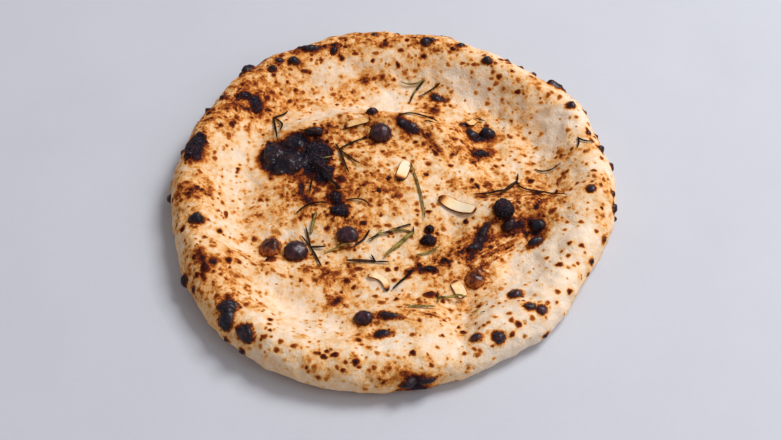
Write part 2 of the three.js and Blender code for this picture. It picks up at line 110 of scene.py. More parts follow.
# Blisters on the top: x, y, half length, half width, turn in degrees, rise, finish
TOP_BLISTERS = (
    # round domes
    (-8, 45, 7.2, 7, 0, 8.5, "plum"),
    (-79, -43, 7, 7, 0, 6.5, "amber"),
    (-62, -47, 7.7, 7.3, 0, 8, "plum"),
    (-29, -43, 5.5, 3, 0, 1.6, "amber"),
    (-29, -36.5, 7, 6.2, 0, 7, "plum"),
    (72, -22, 7, 6.4, 0, 7.5, "crumbly"),
    (52, -69, 6.3, 5.4, 0, 6, "amber"),
    (54.5, -65, 4, 4.2, 0, 5, "black"),
    (-18, -102, 5.8, 5, -9, 5, "plum"),
    (23, -40, 4.8, 4.3, 0, 5, "crumbly"),
    (24, -31, 2.8, 2.8, 0, 4, "crumbly"),
    (55, 55, 5.2, 4.3, 19, 3.4, "black"),
    (66, 58, 5.4, 4.8, 0, 4.6, "black"),
    # burnt crust on the crown
    (-68, 22, 11, 10, -35, 5, "black"),
    (-81, 32, 8, 9.5, 0, 4.4, "black"),
    (-67, 40, 7, 4.5, 0, 1.4, "black"),
    (-54, 46, 7.2, 3.8, 8, 4, "black"),
    (-51, 28, 10, 12, 0, 3.4, "crumbly"),
    (-45, 12, 6.5, 6, 0, 2, "crumbly"),
    (-34, 5, 3.6, 3, 30, 0.6, "brown"),
    (-34, -18, 6, 5.3, 0, 3, "crumbly"),
    (-37, -8, 4.8, 3.6, 0, 2.4, "crumbly"),
    (-14, 62, 4, 3.2, 0, 4, "black"),
    (12, 51, 8, 3.8, -37, 1.2, "black"),
    # burnt streaks and domes of the ridge on the right
    (75, -30, 5.5, 3.8, 52, 4.5, "black"),
    (94, -29, 6, 4.1, -5, 4.5, "black"),
    (92, -41, 5.7, 3.7, 31, 4.5, "black"),
    (59, -36, 7.4, 2.9, 65, 2.5, "black"),
    (52, -47, 4.2, 3.1, 22, 2.5, "black"),
    # scattered
    (50, 64, 3.2, 2.8, 0, 1.8, "black"),
    (60, 37, 7.3, 4, 33, 1.8, "crumbly"),
    (32, 92, 5.8, 3.4, -38, 2, "black"),
    (29, 78, 3.1, 3, 0, 1.8, "brown"),
    (-78, -55, 3.6, 3, 0, 3, "brown"),
    (24, -62, 4.8, 2.9, 0, 1.8, "crumbly"),
    (23, -81, 3.8, 2.8, 0, 2, "brown"),
    (-2, -102, 7.3, 2.6, -8, 1.8, "black"),
    (-7, -115, 5.7, 3.3, 24, 2.5, "black"),
    # along the rim
    (-60, 124, 7.3, 4, -5, 3, "black"),
    (-42, 123, 3.4, 3.1, 0, 2.4, "black"),
    (-70, 112, 4.5, 3.4, 0, 3, "black"),
    (-80, 112, 3.4, 2.8, 0, 2.2, "black"),
    (-85, 104, 3.7, 2.8, 0, 2.4, "black"),
    (25, 130, 6, 3.4, 0, 2.6, "black"),
    (49, 126, 4, 2.6, -9, 2, "black"),
    (67, 110, 3.4, 3.3, 0, 3, "black"),
    (123, 68, 3.1, 3, 0, 2.2, "plum"),
    (129, -9, 3.2, 3.1, 0, 2.4, "plum"),
    (-102, 79, 5.3, 3.4, 19, 1.3, "crumbly"),
    (-95, 72, 5.3, 4, 110, 1.3, "crumbly"),
    (-132, 29, 11, 6.3, 61, 2.8, "crumbly"),
    (-126, -32, 5.7, 4.1, 0, 3.2, "black"),
    (-117, -71, 3.6, 3.3, 0, 2, "brown"),
    (-100.5, -98.5, 6, 5, 0, 3.2, "black"),
    (-101.5, -106.5, 7, 5.5, 74, 3.2, "black"),
    (-89, -117, 6.4, 5.6, -14, 4.6, "black"),
    (9, -147, 5.3, 3.3, 4, 2.6, "black"),
    (20, -145, 5, 3, 8, 2.4, "black"),
    (76, -85, 4.6, 4.4, 0, 2.9, "plum"),
    (84, -98, 3.8, 2.9, 0, 1.9, "plum"),
    (91, -100, 3.3, 3.1, 0, 2, "plum"),
    (64, -120, 4.1, 3.7, 6, 2.6, "plum"),
    (50, -119, 3.9, 2.7, -20, 1.8, "plum"),
)

# Blisters on the side: bearing in degrees, degrees round the side from its crest, radius, rise
SIDE_BLISTERS = (
    (13, 45, 3, 2.6), (8, 67, 3, 2.6), (353.5, 62, 3.2, 2.8), (38.5, 42, 5.4, 4),
    (36.5, 50, 3.4, 2), (133.5, 47, 4.8, 3.4), (135.5, 60, 3.4, 2), (165.5, 82, 3.4, 2),
    (180.5, 88, 3.4, 3.4), (208.5, 80, 4.2, 3.2), (213, 67, 2, 1.4), (310.5, 85, 2, 1.2),
    (335.5, 62, 2.2, 1.5), (343, 60, 2, 1.4), (233.5, 88, 2.4, 2), (228.5, 88, 1.8, 1.4),
    (147, 25, 2.4, 1.6), (152.5, 45, 2.2, 1.6), (155.5, 70, 2, 1.4), (54, 30, 1.8, 1.2),
    (50, 48, 2, 1.3), (46, 48, 1.8, 1.2), (27, 52, 2, 1.4), (19, 64, 2.2, 1.5), (357, 48, 2.6, 1.8),
    (352.5, 87, 2.2, 1.4), (18.5, 22, 2, 1.4), (30.5, 87, 2, 1.4), (58, 82, 2.2, 1.4),
    (88.5, 60, 2, 1.3), (95.5, 15, 2.2, 1.3),
)

# Toasted and pale patches: x, y, half length, half width, turn in degrees, strength
TOASTED = (
    # crown and middle
    (-58, 30, 21, 18, 0, 0.9), (-45, 0, 20, 18, -30, 0.85), (-30, -25, 9, 14, 10, 0.6),
    (-15, 48, 30, 11, 5, 0.8), (34, 44, 16, 9, -30, 0.45), (-10, 20, 24, 18, 0, 0.32),
    (0, -8, 16, 14, 0, 0.4), (-70, -12, 20, 14, 0, 0.5), (-15, 72, 6, 9, 0, 0.5),
    (30, 88, 11, 14, -15, 0.75), (24, 70, 8, 8, 0, 0.6), (22, -35, 10, 16, 0, 0.45),
    (54, 4, 16, 9, 12, 0.75), (55, 32, 11, 8, -30, 1.25), (56, 63, 8, 8, 0, 0.7),
    (25, 14, 9, 7, 0, 0.5), (-5, -5, 8, 11, 0, 1.0), (-27, 53, 9, 9, 0, 0.35),
    (20, 84, 12, 7, 0, 0.4), (58, 52, 14, 14, -10, 0.65),
    # back
    (-22, 107, 16, 6, 4, 0.6), (-30, 93, 9, 6, 15, 1.1), (-70, 92, 22, 10, 25, 0.45),
    (-98, 76, 14, 15, 30, 0.75), (-90, 118, 30, 14, 35, 0.75), (-105, 64, 12, 9, 30, 0.9),
    (-94, 98, 8, 12, 30, 0.4), (-125, 50, 8, 9, 0, 0.3), (-64, 124, 18, 7, 20, 0.6),
    (-12, 105, 7, 7, 0, 0.35), (-12, 136, 20, 6, 0, 0.25), (110, 90, 8, 9, 0, 0.25),
    (-68, 78, 12, 8, 0, 0.35), (-30, 132, 34, 12, 3, 0.65), (25, 130, 20, 12, -8, 0.6),
    (48, 124, 12, 6, -20, 0.25), (68, 104, 10, 9, -20, 0.2), (98, 84, 20, 9, -45, 0.2),
    (95, 55, 12, 14, 0, 0.3), (88, 78, 13, 11, 0, 0.05),
    # left
    (-133, 30, 9, 22, 12, 0.8), (-118, 60, 14, 10, 50, 0.3), (-136, -8, 9, 14, 0, 0.9),
    (-126, -32, 9, 9, 0, 0.4), (-124, -72, 11, 16, -20, 0.7), (-97, -78, 14, 14, 0, 0.5),
    (-104, -56, 8, 8, 0, 0.35), (-104, -98, 10, 14, -30, 0.45), (-90, -118, 10, 6, -25, 0.2),
    # front
    (-72, -46, 18, 9, 0, 0.5), (-65, -62, 20, 7, -10, 0.3), (-30, -64, 18, 8, 5, 0.75),
    (-35, -85, 8, 8, 0, 0.65), (16, -62, 14, 7, 0, 0.15), (-33, -84, 7, 7, 0, 0.5),
    (-33, -62, 8, 6, 0, 0.4), (-12, -38, 12, 6, 0, 0.3), (63, -77, 6, 6, 0, 0.3),
    (12, -130, 8, 10, 0, 0.2), (-56, -104, 20, 8, -20, 0.25), (-25, -122, 12, 6, 10, 0.55),
    (40, -78, 11, 11, 0, 0.35), (25, -100, 14, 12, 0, 0.25), (40, -52, 18, 10, 35, 0.7),
    (5, -92, 26, 12, 0, 0.35), (-18, -108, 9, 13, 10, 0.5), (-50, -135, 22, 7, -15, 0.22),
    (-4, -141, 26, 6, 0, 0.35), (16, -147, 16, 5, 4, 0.45), (50, -100, 7, 16, -10, 0.2),
    (75, -86, 8, 8, 0, 0.2), (84, -100, 10, 7, 20, 0.2),
    # right
    (74, -34, 28, 10, 33, 0.85), (85, -6, 15, 11, 5, 1.5), (86, 36, 7, 14, 0, 0.3),
    (60, -52, 14, 12, 40, 0.6), (104, 12, 12, 16, 10, 0.45), (118, 32, 12, 10, 30, 0.45),
    (128, -8, 9, 8, 0, 0.45), (96, -34, 9, 6, 20, 0.35), (115, -72, 9, 12, 0, 0.25),
    (130, -26, 7, 8, 0, 0.2), (134, -40, 6, 24, -12, 0.08),
    # pale; those at the right front and the back right also lighten slopes that lie in shade, as
    # painted light
    (-95, 42, 14, 11, 20, -0.25), (-98, -45, 12, 10, 0, -0.2), (-6, 92, 26, 7, 0, -0.35),
    (-55, 62, 8, 5, 10, -0.8), (-32, 76, 10, 6, 0, -0.25), (10, 76, 9, 7, 0, -0.3),
    (-75, -92, 18, 16, 0, -0.18), (-40, -110, 20, 12, 0, -0.25), (88, -72, 16, 16, 0, -0.5),
    (40, 70, 7, 8, 0, -0.4), (82, 42, 9, 12, 0, -0.05), (48, 103, 15, 12, 0, -0.45),
    (-80, 100, 12, 6, 0, -0.2), (5, 110, 20, 5, 0, -0.15), (78, 25, 10, 10, 0, -0.35),
    (38, -8, 12, 8, 0, -0.3), (45, 20, 12, 8, 0, -0.2), (113, 54, 10, 17, 0, -0.5),
    (10, -18, 14, 8, 40, -0.35), (-58, -54, 14, 6, 0, -0.25), (-3, -75, 13, 8, 0, -0.35),
    (-14, -92, 8, 9, 0, -0.3), (86, -48, 16, 10, 20, -0.3), (0, -125, 24, 6, 0, -0.3),
    (112, -50, 12, 20, 0, -0.25), (60, -116, 20, 12, 0, -0.42), (92, -106, 12, 12, 0, -0.3),
    (-40, 110, 14, 7, 0, -0.6),
)
OVERALL_TOAST = 0.17
FLANK_TOAST = 0.1  # added on the rim's outside
FOOT_TOAST = 0.16  # added where the bread meets the oven's floor
CREASE_TOAST = 0.25  # added along the creases
MOST_TOAST = 1.35

# Where the crust is streaked along its folds, by the same numbers
STREAKED = (
    (68, -44, 20, 9, 38, 1.0),
    (88, -8, 14, 9, 20, 0.5),
)
STREAK_TURN = 38  # degrees

# Burnt patches that lie flat in the crust: x, y, half length, half width, turn in degrees
BURNT = (
    (-74, 27, 19, 15, -35),  # on the crown
    (-53, 25, 12, 17, 0),
    (-65, 40, 11, 7, 0),
    (-46, 8, 7, 7, -30),
    (-61, 4, 2.8, 10, 8),
    (-55, -8, 8, 3, -20),
    (-37, -10, 4.6, 11, 12),
    (8, 53, 11, 4.4, -36),
    (30, 36, 7, 2, -62),
    (-133, 28, 7, 13, 20),  # left rim
    (-96, 76, 6, 9, 20),
    (-120, -62, 3, 5, 20),
    (-113, -66, 3, 4, 0),
    (62, 54, 11, 5, 8),  # cluster behind the ridge
    (62, 38, 9, 4, 30),
    (80, -30, 18, 3.6, 30),  # scorched ridge
    (56, -42, 5, 14, -32),
    (95, -33, 6, 4, 30),
    (22, -62, 8, 3, 0),
    (-35, -85, 4, 2.6, 20),
    (-20, 108, 4, 2, 20),
    (-60, 124, 10, 5, -5),
    (14, -147, 10, 3.6, 3),
)

# Browned spots with a low blister each: x, y, half length, half width, turn in degrees, darkness
SPOTS = (
    # back, left to right
    (-58, 115, 1.5, 1.5, 0, 0.7), (-51, 116, 1.8, 1.7, 0, 0.7), (-62, 107, 3, 1.8, 0, 0.8),
    (-73, 106, 2, 1.1, 0, 0.6), (-42, 95.5, 1.9, 1.6, 0, 0.6), (-7, 109, 2.4, 2, 30, 0.7),
    (-13, 108, 2, 1.7, 0, 0.7), (-18, 110, 1.5, 1.5, 0, 0.5), (-27, 122, 2.2, 1.6, 20, 0.8),
    (-17, 132, 2.6, 1.4, -15, 0.6), (-8, 127, 2.2, 2, 0, 0.7), (6, 124, 2, 1.7, 0, 0.8),
    (4, 115.5, 1.7, 2.6, 25, 0.8), (-1, 127, 1.5, 1.3, 0, 0.6), (32, 122, 2.8, 1.4, 8, 0.8),
    (43, 122, 2.2, 1.9, 0, 0.9), (40, 112, 1.5, 1.3, 0, 0.5), (54, 110, 1.3, 1.2, 0, 0.5),
    (58, 109, 2, 1.6, 0, 0.7), (77, 112, 2.5, 1.9, 40, 0.8), (73, 107, 1.6, 1.4, 0, 0.6),
    (71, 101, 1.8, 1.6, 0, 0.6), (85, 98, 1.4, 1.2, 0, 0.5), (97, 93, 2, 1.8, 0, 0.5),
    (88, 91, 1.8, 1.6, 0, 0.4), (87.5, 83, 2.3, 2, 0, 0.9), (78, 88, 1.5, 1.3, 0, 0.5),
    (77, 82, 1.5, 1.2, 0, 0.5), (67, 83, 2, 1.5, 0, 0.5), (73, 93, 2.2, 1.6, 30, 0.5),
    (70, 97, 1.5, 1.2, 0, 0.5), (59, 92, 1.6, 1.2, 0, 0.4), (102, 87, 1.6, 1.4, 0, 0.5),
    (100, 112, 1.6, 1.4, 0, 0.6), (106, 105, 1.4, 1.2, 0, 0.6), (68, 132, 2.5, 1.6, -20, 0.9),
    (78, 128, 2.1, 1.4, -30, 0.7), (97, 121, 1.3, 1.1, 0, 0.6), (42, 96, 1.8, 1.2, 20, 0.5),
    (43, 82, 1.6, 1.2, 0, 0.3), (-57, 97, 1.3, 1.2, 0, 0.5), (-60, 89, 2, 1.1, 0, 0.5),
    (-68, 92, 1.6, 1.3, 0, 0.5), (-69, 84, 1.2, 2, -20, 0.6), (-78, 92, 1.3, 1.1, 0, 0.5),
    (-87, 88, 3, 2, 0, 0.3), (-73, 97, 1.4, 1.2, 0, 0.5),
    # left rim
    (-104, 88, 2.6, 2, 0, 0.6), (-88, 82, 3, 2, 40, 0.8), (-115, 74, 1.9, 1.6, 0, 0.7),
    (-115, 67, 2, 1.6, 0, 0.6), (-123, 63, 2.3, 1.9, 60, 0.8), (-113, 62, 1.5, 1.3, 0, 0.6),
    (-110, 52, 2, 3.2, 0, 0.8), (-106, 60, 2, 1.6, 0, 0.5), (-124, 52, 2, 1.7, 0, 0.6),
    (-117, 48, 1.3, 1.1, 0, 0.5), (-119, 22, 2, 1.7, 30, 0.6), (-127, 7, 1.6, 1.4, 0, 0.6),
    (-135, -2, 2.5, 1.9, 0, 0.7), (-128, -6, 2.5, 2.2, 40, 0.9), (-133, -11, 3, 2.2, 0, 0.9),
    (-127, -14, 2.1, 1.6, 0, 0.8), (-138, -15, 2, 1.6, 0, 0.8), (-109, -20, 1.7, 3.6, 8, 0.6),
    (-114, -4, 1.2, 1.1, 0, 0.5), (-106, -7, 1.1, 1, 0, 0.5), (-87.5, -5, 1.9, 1.7, 0, 0.8),
    (-78, 2.5, 1.6, 1.3, 0, 0.5), (-69, 3, 1.9, 1.4, 0, 0.5), (-69, -7, 2, 1.5, 0, 0.5),
    (-93, -11, 2.6, 1, 25, 0.5), (-89, -17.5, 2.8, 1.1, -20, 0.6), (-96, -22, 1.4, 1.1, 0, 0.5),
    (-90, -35, 2.2, 2, 0, 0.7), (-96, -35, 2, 1.9, 0, 0.35), (-119, -47.5, 1.9, 1.6, 0, 0.7),
    (-113, -52, 1.4, 1.2, 0, 0.6), (-132, -48, 1.6, 1.3, 0, 0.6), (-126, -39, 1.9, 1.5, 0, 0.6),
    (-103, -63, 2.9, 2.3, 60, 0.9), (-124, -62, 2.1, 1.7, 0, 0.8), (-122, -74, 2.3, 1.8, 0, 0.9),
    (-117, -78, 2, 1.7, 0, 0.8), (-97.5, -73, 2.4, 1.8, 20, 0.5), (-107, -85, 1.6, 1.3, 0, 0.5),
    (-118, -86, 2, 1.4, 0, 0.6), (-127, -66, 1.6, 1.3, 0, 0.7),
    # crease inside the left rim
    (-98, -53, 1.8, 0.9, -35, 0.6), (-92, -57, 1.8, 0.9, -35, 0.7), (-88, -61.5, 2.4, 1, -25, 0.7),
    (-82, -62.5, 2, 0.9, -20, 0.7), (-76, -65, 2.4, 1, -30, 0.6), (-70, -68, 2.6, 1, -15, 0.5),
    # crown
    (-18, 17, 1.8, 1.6, 0, 0.6), (-17, 8, 2, 1.5, 0, 0.5), (-34, 6.5, 3, 2.4, 0, 0.8),
    (-8, 16, 2.1, 1.6, 40, 0.5), (-5, 9, 2, 1.4, 0, 0.4), (-13, 28, 1.7, 1.4, 0, 0.5),
    (-22, 37, 1.6, 1.2, 0, 0.6), (-2, 27, 2, 1.5, 0, 0.4), (4, -6, 3, 2.4, 0, 0.6),
    (-27, 5, 2.4, 1.7, 60, 0.6), (-22, -4, 1.6, 1.3, 0, 0.5), (-13, 2, 1.6, 1.2, 0, 0.5),
    (-32, 49, 2.4, 1.1, 10, 0.7), (-27, 46.5, 2, 1, -10, 0.7), (24, 45, 1.6, 1.3, 0, 0.9),
    (26, 37, 1.6, 1.4, 0, 0.9), (29, 32, 3.6, 1.9, -60, 0.9), (17, 37, 2.2, 1.6, 0, 0.5),
    (7, 44, 2.2, 1.7, 0, 0.6), (10, 32, 1.6, 1.3, 0, 0.5), (39, 22, 2, 1.6, 0, 0.9),
    (22.5, 13, 2, 1.8, 0, 1), (40, 45, 1.4, 1.2, 0, 0.5), (43, 37.5, 2.2, 1, 20, 0.6),
    (32, 25, 1.3, 1.1, 0, 0.5), (-64, -23, 2.2, 1.5, 0, 0.4), (-73, -25, 1.4, 1.2, 0, 0.4),
    (-19, -27, 2.5, 2.1, 0, 1), (-2.5, -28, 1.8, 1.5, 0, 0.6), (-52, -39, 1.6, 1.3, 0, 0.6),
    (16, -16, 1.8, 1.6, 0, 0.7), (27, -12.5, 1.4, 1.2, 0, 0.5), (31, -22.5, 1.4, 1.2, 0, 0.5),
    (33, -30, 1.9, 1.6, 0, 0.5), (47.5, -27, 1.9, 2.2, 0, 1),
    # right
    (116, 76, 2.6, 1.7, 60, 0.6), (108, 77.5, 2.1, 1.6, 60, 0.6), (103, 73, 1.6, 1.2, 0, 0.5),
    (103, 55, 1.9, 1.5, 0, 0.4), (126, 57.5, 1.6, 1.3, 0, 0.6), (120, 47.5, 1.9, 1.6, 0, 0.5),
    (133, 47.5, 2.1, 1.7, 0, 0.6), (113, 33, 2.3, 1.8, 50, 0.5), (93, 29, 2, 1.6, 0, 0.4),
    (130, 26, 1.4, 1.2, 0, 0.6), (140, 22, 1.9, 1.6, 0, 0.7), (114, 27, 1.3, 1.1, 0, 0.5),
    (93, 13, 2.6, 2.3, 0, 1), (133, 7.5, 1.8, 1.6, 0, 0.8), (138, -1, 1.6, 1.3, 0, 0.7),
    (115, 9, 1.7, 1.4, 0, 0.6), (110, 7, 1.2, 2.2, -20, 0.7), (55, 5, 3, 1.4, 25, 0.6),
    (63, 10, 2.4, 1.3, 25, 0.6), (73, 34, 1.9, 1.6, 0, 0.5), (70, 27, 1.4, 1.2, 0, 0.5),
    (70, 21, 1.6, 1.2, 0, 0.4), (108, -3, 1.6, 4, -15, 0.8), (60, -7, 3, 1.8, -20, 0.9),
    (90, -12, 4, 1.2, 35, 0.6), (97, -5, 4, 1.2, 60, 0.7), (100, -12, 5, 1.3, 50, 0.7),
    (104, -21, 3.6, 1.7, 40, 0.8), (84, -8, 3, 1.1, 20, 0.6), (66, -48, 6, 1.2, 45, 0.6),
    (72, -45, 6, 1.2, 42, 0.6), (60, -51, 5, 1.1, 50, 0.6), (77, -40, 5, 1.2, 35, 0.6),
    (52, -56, 5, 1, 55, 0.5), (121, -33, 1.6, 1.3, 0, 0.7), (111, -37, 1.1, 1, 0, 0.6),
    (112.5, -31, 1.3, 1.1, 0, 0.6), (107, -28, 1.3, 1.1, 0, 0.6), (112, -16, 1.3, 1.1, 0, 0.6),
    (112.5, -49, 1.6, 1.4, 0, 0.9), (120, -51, 1.6, 1.4, 0, 0.9), (98, -56, 1.6, 1.4, 0, 0.7),
    (111, -57.5, 1.6, 1.3, 0, 0.8), (105, -64.5, 2.3, 1.9, 0, 0.9), (117, -63, 1.2, 1.1, 0, 0.7),
    (107, -53, 1.1, 1, 0, 0.6), (114, -65, 1.1, 1, 0, 0.6), (122, -55, 1.1, 1, 0, 0.6),
    (102, -86, 2.1, 1.7, 0, 0.7), (101, -93, 1.3, 1.1, 0, 0.8), (110, -83, 2.3, 1.7, 50, 0.9),
    # front, left to right
    (-77, -121, 1.9, 1.6, 0, 0.7), (-67, -125, 1.9, 1.6, 0, 0.7), (-59, -128, 1.9, 1.6, 0, 0.7),
    (-45, -132.5, 2, 1.3, 0, 0.8), (-41, -135, 2.1, 1.8, 0, 0.9), (-34.5, -134, 2.5, 2.1, 0, 0.9),
    (-37, -130, 1.1, 1, 0, 0.7), (-28, -139, 1.6, 1.4, 0, 0.8), (-29.5, -143, 1.8, 1.1, 0, 0.9),
    (-22, -139, 2.4, 2.2, 0, 1), (-11, -142, 1.7, 1.5, 0, 0.7), (-50, -142, 1.4, 1.1, 0, 0.6),
    (-55, -63, 3, 2.4, 0, 0.6), (-45, -68, 2.1, 1.8, 0, 0.7), (-36, -64, 3.5, 2.4, 20, 0.6),
    (-41, -63, 2, 1.7, 0, 0.7), (-29, -70, 2.4, 2, 0, 0.9), (-26, -63, 2.5, 1.8, 0, 0.6),
    (-22, -61, 4, 1.6, 0, 0.8), (-22, -81, 1.6, 1.3, 0, 0.5), (-3, -61.5, 2, 1.7, 0, 0.9),
    (4, -94, 2.1, 1.7, 0, 0.6), (43, -42, 2.6, 2, 0, 0.6), (42, -52.5, 1.6, 1.4, 0, 0.9),
    (32, -57.5, 1.9, 1.5, 0, 0.9), (17, -58.5, 2.1, 1.9, 0, 1), (11, -64, 1.8, 3, -25, 0.9),
    (12.5, -52, 1.9, 1.5, 0, 0.6), (17, -87, 1.9, 1.6, 0, 0.7), (-7, -88, 2.6, 2, 0, 0.6),
    (13, -98, 1.6, 1.3, 0, 0.7), (24, -101, 5, 1.4, -8, 0.9), (68, -77, 2.1, 1.8, 0, 0.3),
    (95, -95, 1.6, 1.2, 0, 0.6), (76, -111, 2.4, 2, 0, 0.9), (72, -117, 2.1, 1.6, 50, 0.8),
    (71, -103, 1.4, 1.2, 0, 0.7), (62.5, -106, 1.6, 1, 0, 0.5), (58, -110, 1.5, 1.1, 30, 0.6),
    (52.5, -112.5, 1.1, 1, 0, 0.6), (51, -107.5, 1.1, 1, 0, 0.6), (85, -106, 1.9, 1.5, 0, 0.6),
    (66, -92.5, 1.1, 1, 0, 0.7), (83, -77, 1.1, 1, 0, 0.4), (49, -127, 1.7, 1.1, -40, 0.7),
    (43, -129, 1.4, 1.2, 0, 0.8), (60, -125, 1.1, 1, 0, 0.7), (29, -117, 1.1, 1, 0, 0.5),
    (27, -127, 1.3, 1.1, 0, 0.5), (12, -117, 2.1, 1.7, 0, 0.6), (12, -132.5, 1.9, 2.4, 0, 0.9),
    (23, -139, 1.6, 1.3, 0, 0.8), (-2, -142, 1.6, 1.3, 0, 0.7),
)

SEED = 7
OUTSIDE = -8.0  # depth that stands for a place away from every patch
BROWN_TONE = 0.8  # darkness of the blisters that are only browned


def smooth(t):
    """Eases from 0 to 1 as t does."""
    t = np.clip(t, 0, 1)
    return t * t * (3 - 2 * t)


def around(values, angle):
    """Value at an angle, on a smooth closed curve through values at even steps."""
    values = np.asarray(values, float)
    place = np.mod(angle, FULL_TURN) / FULL_TURN * len(values)
    step = np.floor(place).astype(int)
    t = place - step
    a, b, c, d = (values[(step + k) % len(values)] for k in (-1, 0, 1, 2))
    bow = 2 * a - 5 * b + 4 * c - d
    skew = 3 * b - a - 3 * c + d
    return 0.5 * (2 * b + (c - a) * t + bow * t**2 + skew * t**3)


def in_patch(patch, x, y):
    """Place along and across a patch of x, y, half length, half width and turn: 1 at its ends."""
    mid_x, mid_y, half_length, half_width, turn = patch
    cos, sin = math.cos(math.radians(turn)), math.sin(math.radians(turn))
    along = ((x - mid_x) * cos + (y - mid_y) * sin) / half_length
    across = ((y - mid_y) * cos - (x - mid_x) * sin) / half_width
    return along, across


def mounds(table, x, y):
    """Sum of bell-shaped mounds, each a patch and the mound's height."""
    total = np.zeros_like(x, float)
    for *patch, height in table:
        along, across = in_patch(patch, x, y)
        total += height * np.exp(-0.5 * (along**2 + across**2))
    return total


def crust_height(x, y):
    """Height of the upper crust, out to the rim's widest line."""
    x, y = np.asarray(x, float), np.asarray(y, float)
    angle = np.arctan2(y, x)
    inward = around(RIM_RADIUS, angle) - np.hypot(x, y)
    slope = 1 - smooth((inward - SHOULDER) / INNER_SLOPE)
    full = FLOOR + (around(CREST_HEIGHT, angle) - FLOOR) * slope + mounds(SWELLS, x, y)
    outward = np.clip(1 - inward / SHOULDER, 0, 1)
    widest = around(WIDEST_HEIGHT, angle)
    return np.where(inward >= SHOULDER, full, widest + (full - widest) * np.sqrt(1 - outward**2))


def crust_normal(x, y):
    """The way the upper crust faces at a place."""
    reach = 1.0
    fall_x = crust_height(x - reach, y) - crust_height(x + reach, y)
    fall_y = crust_height(x, y - reach) - crust_height(x, y + reach)
    normal = np.array([float(fall_x), float(fall_y), 2 * reach])
    return normal / np.linalg.norm(normal)


def shoulder_point(bearing, drop):
    """Point of the rim: drop is 0 on its crest and a quarter turn on its widest line."""
    radius = around(RIM_RADIUS, bearing) - SHOULDER * (1 - np.sin(drop))
    x, y = radius * np.cos(bearing), radius * np.sin(bearing)
    return np.stack([x, y, crust_height(x, y)], -1)


def bread_rings(spacing):
    """Rings of points from the middle of the top, over the rim, to the middle of the underside."""
    mean_radius = sum(RIM_RADIUS) / len(RIM_RADIUS)
    rim_count = round(FULL_TURN * mean_radius / spacing)
    rows = round((mean_radius - SHOULDER) / (spacing * math.sin(math.pi / 3)))
    rings = [np.array([[0.0, 0.0, float(crust_height(0, 0))]])]
    for row in range(1, rows + 1):
        count = max(6, round(row / rows * rim_count))
        angle = np.arange(count) / count * FULL_TURN
        radius = row / rows * (around(RIM_RADIUS, angle) - SHOULDER)
        x, y = radius * np.cos(angle), radius * np.sin(angle)
        rings.append(np.stack([x, y, crust_height(x, y)], -1))
    shoulder_steps = round(SHOULDER_CURVE / spacing)
    angle = np.arange(rim_count) / rim_count * FULL_TURN
    for step in range(1, shoulder_steps + 1):
        rings.append(shoulder_point(angle, QUARTER_TURN * step / shoulder_steps))
    foot_steps = round(FOOT_CURVE / (2 * spacing))
    angle = np.arange(rim_count // 2) / (rim_count // 2) * FULL_TURN
    for step in range(1, foot_steps + 1):
        curl = QUARTER_TURN * step / foot_steps
        radius = around(RIM_RADIUS, angle) - FOOT * (1 - math.cos(curl))
        height = around(WIDEST_HEIGHT, angle) * (1 - math.sin(curl))
        rings.append(np.stack([radius * np.cos(angle), radius * np.sin(angle), height], -1))
    for share in UNDERSIDE_RINGS:
        count = max(6, round(share * rim_count / 4))
        angle = np.arange(count) / count * FULL_TURN
        radius = share * (around(RIM_RADIUS, angle) - FOOT)
        rings.append(np.stack([radius * np.cos(angle), radius * np.sin(angle), 0 * angle], -1))
    rings.append(np.zeros((1, 3)))
    return rings


def stitch(rings):
    """Points and triangles of closed rings, each starting at angle 0."""
    faces = []
    start = 0
    for ring, after in zip(rings, rings[1:]):
        near, far = len(ring), len(after)
        near_steps = 0 if near == 1 else near
        far_steps = 0 if far == 1 else far
        i = j = 0
        while i < near_steps or j < far_steps:
            far_first = (j + 1) * near <= (i + 1) * far
            if j < far_steps and (i >= near_steps or far_first):
                faces.append((start + i % near, start + near + j % far, start + near + (j + 1) % far))
                j += 1
            else:
                faces.append((start + i % near, start + near + j % far, start + (i + 1) % near))
                i += 1
        start += near
    return np.concatenate(rings), faces


def mesh_object(name, points, faces):
    """A smooth-shaded mesh object of points in millimetres."""
    mesh = bpy.data.meshes.new(name)
    mesh.from_pydata((np.asarray(points) * MM).tolist(), [], [tuple(face) for face in faces])
    mesh.shade_smooth()
    piece = bpy.data.objects.new(name, mesh)
    bpy.context.scene.collection.objects.link(piece)
    return piece


def points_of(mesh):
    """The mesh's points, in millimetres."""
    flat = np.empty(len(mesh.vertices) * 3, np.float32)
    mesh.vertices.foreach_get("co", flat)
    return flat.reshape(-1, 3).astype(float) / MM


def normals_of(mesh):
    """The way the mesh faces at each point."""
    flat = np.empty(len(mesh.vertices) * 3, np.float32)
    mesh.vertices.foreach_get("normal", flat)
    return flat.reshape(-1, 3).astype(float)


def move_points(mesh, points):
    """Moves the mesh's points to places in millimetres."""
    mesh.vertices.foreach_set("co", (points * MM).astype(np.float32).ravel())
    mesh.update()


def store(mesh, name, values):
    """Marks each point of the mesh with a number that nodes can read by name."""
    attribute = mesh.attributes.new(name, "FLOAT", "POINT")
    attribute.data.foreach_set("value", values.astype(np.float32))


def rough(points, size, octaves=3):
    """Noise from about -1 to 1 whose bumps are size millimetres apart."""
    return np.array([noise.fractal(Vector(p), 1.0, 2.0, octaves) for p in points / size])


# ---------------------------------------------------------------------------
# Blisters
# ---------------------------------------------------------------------------


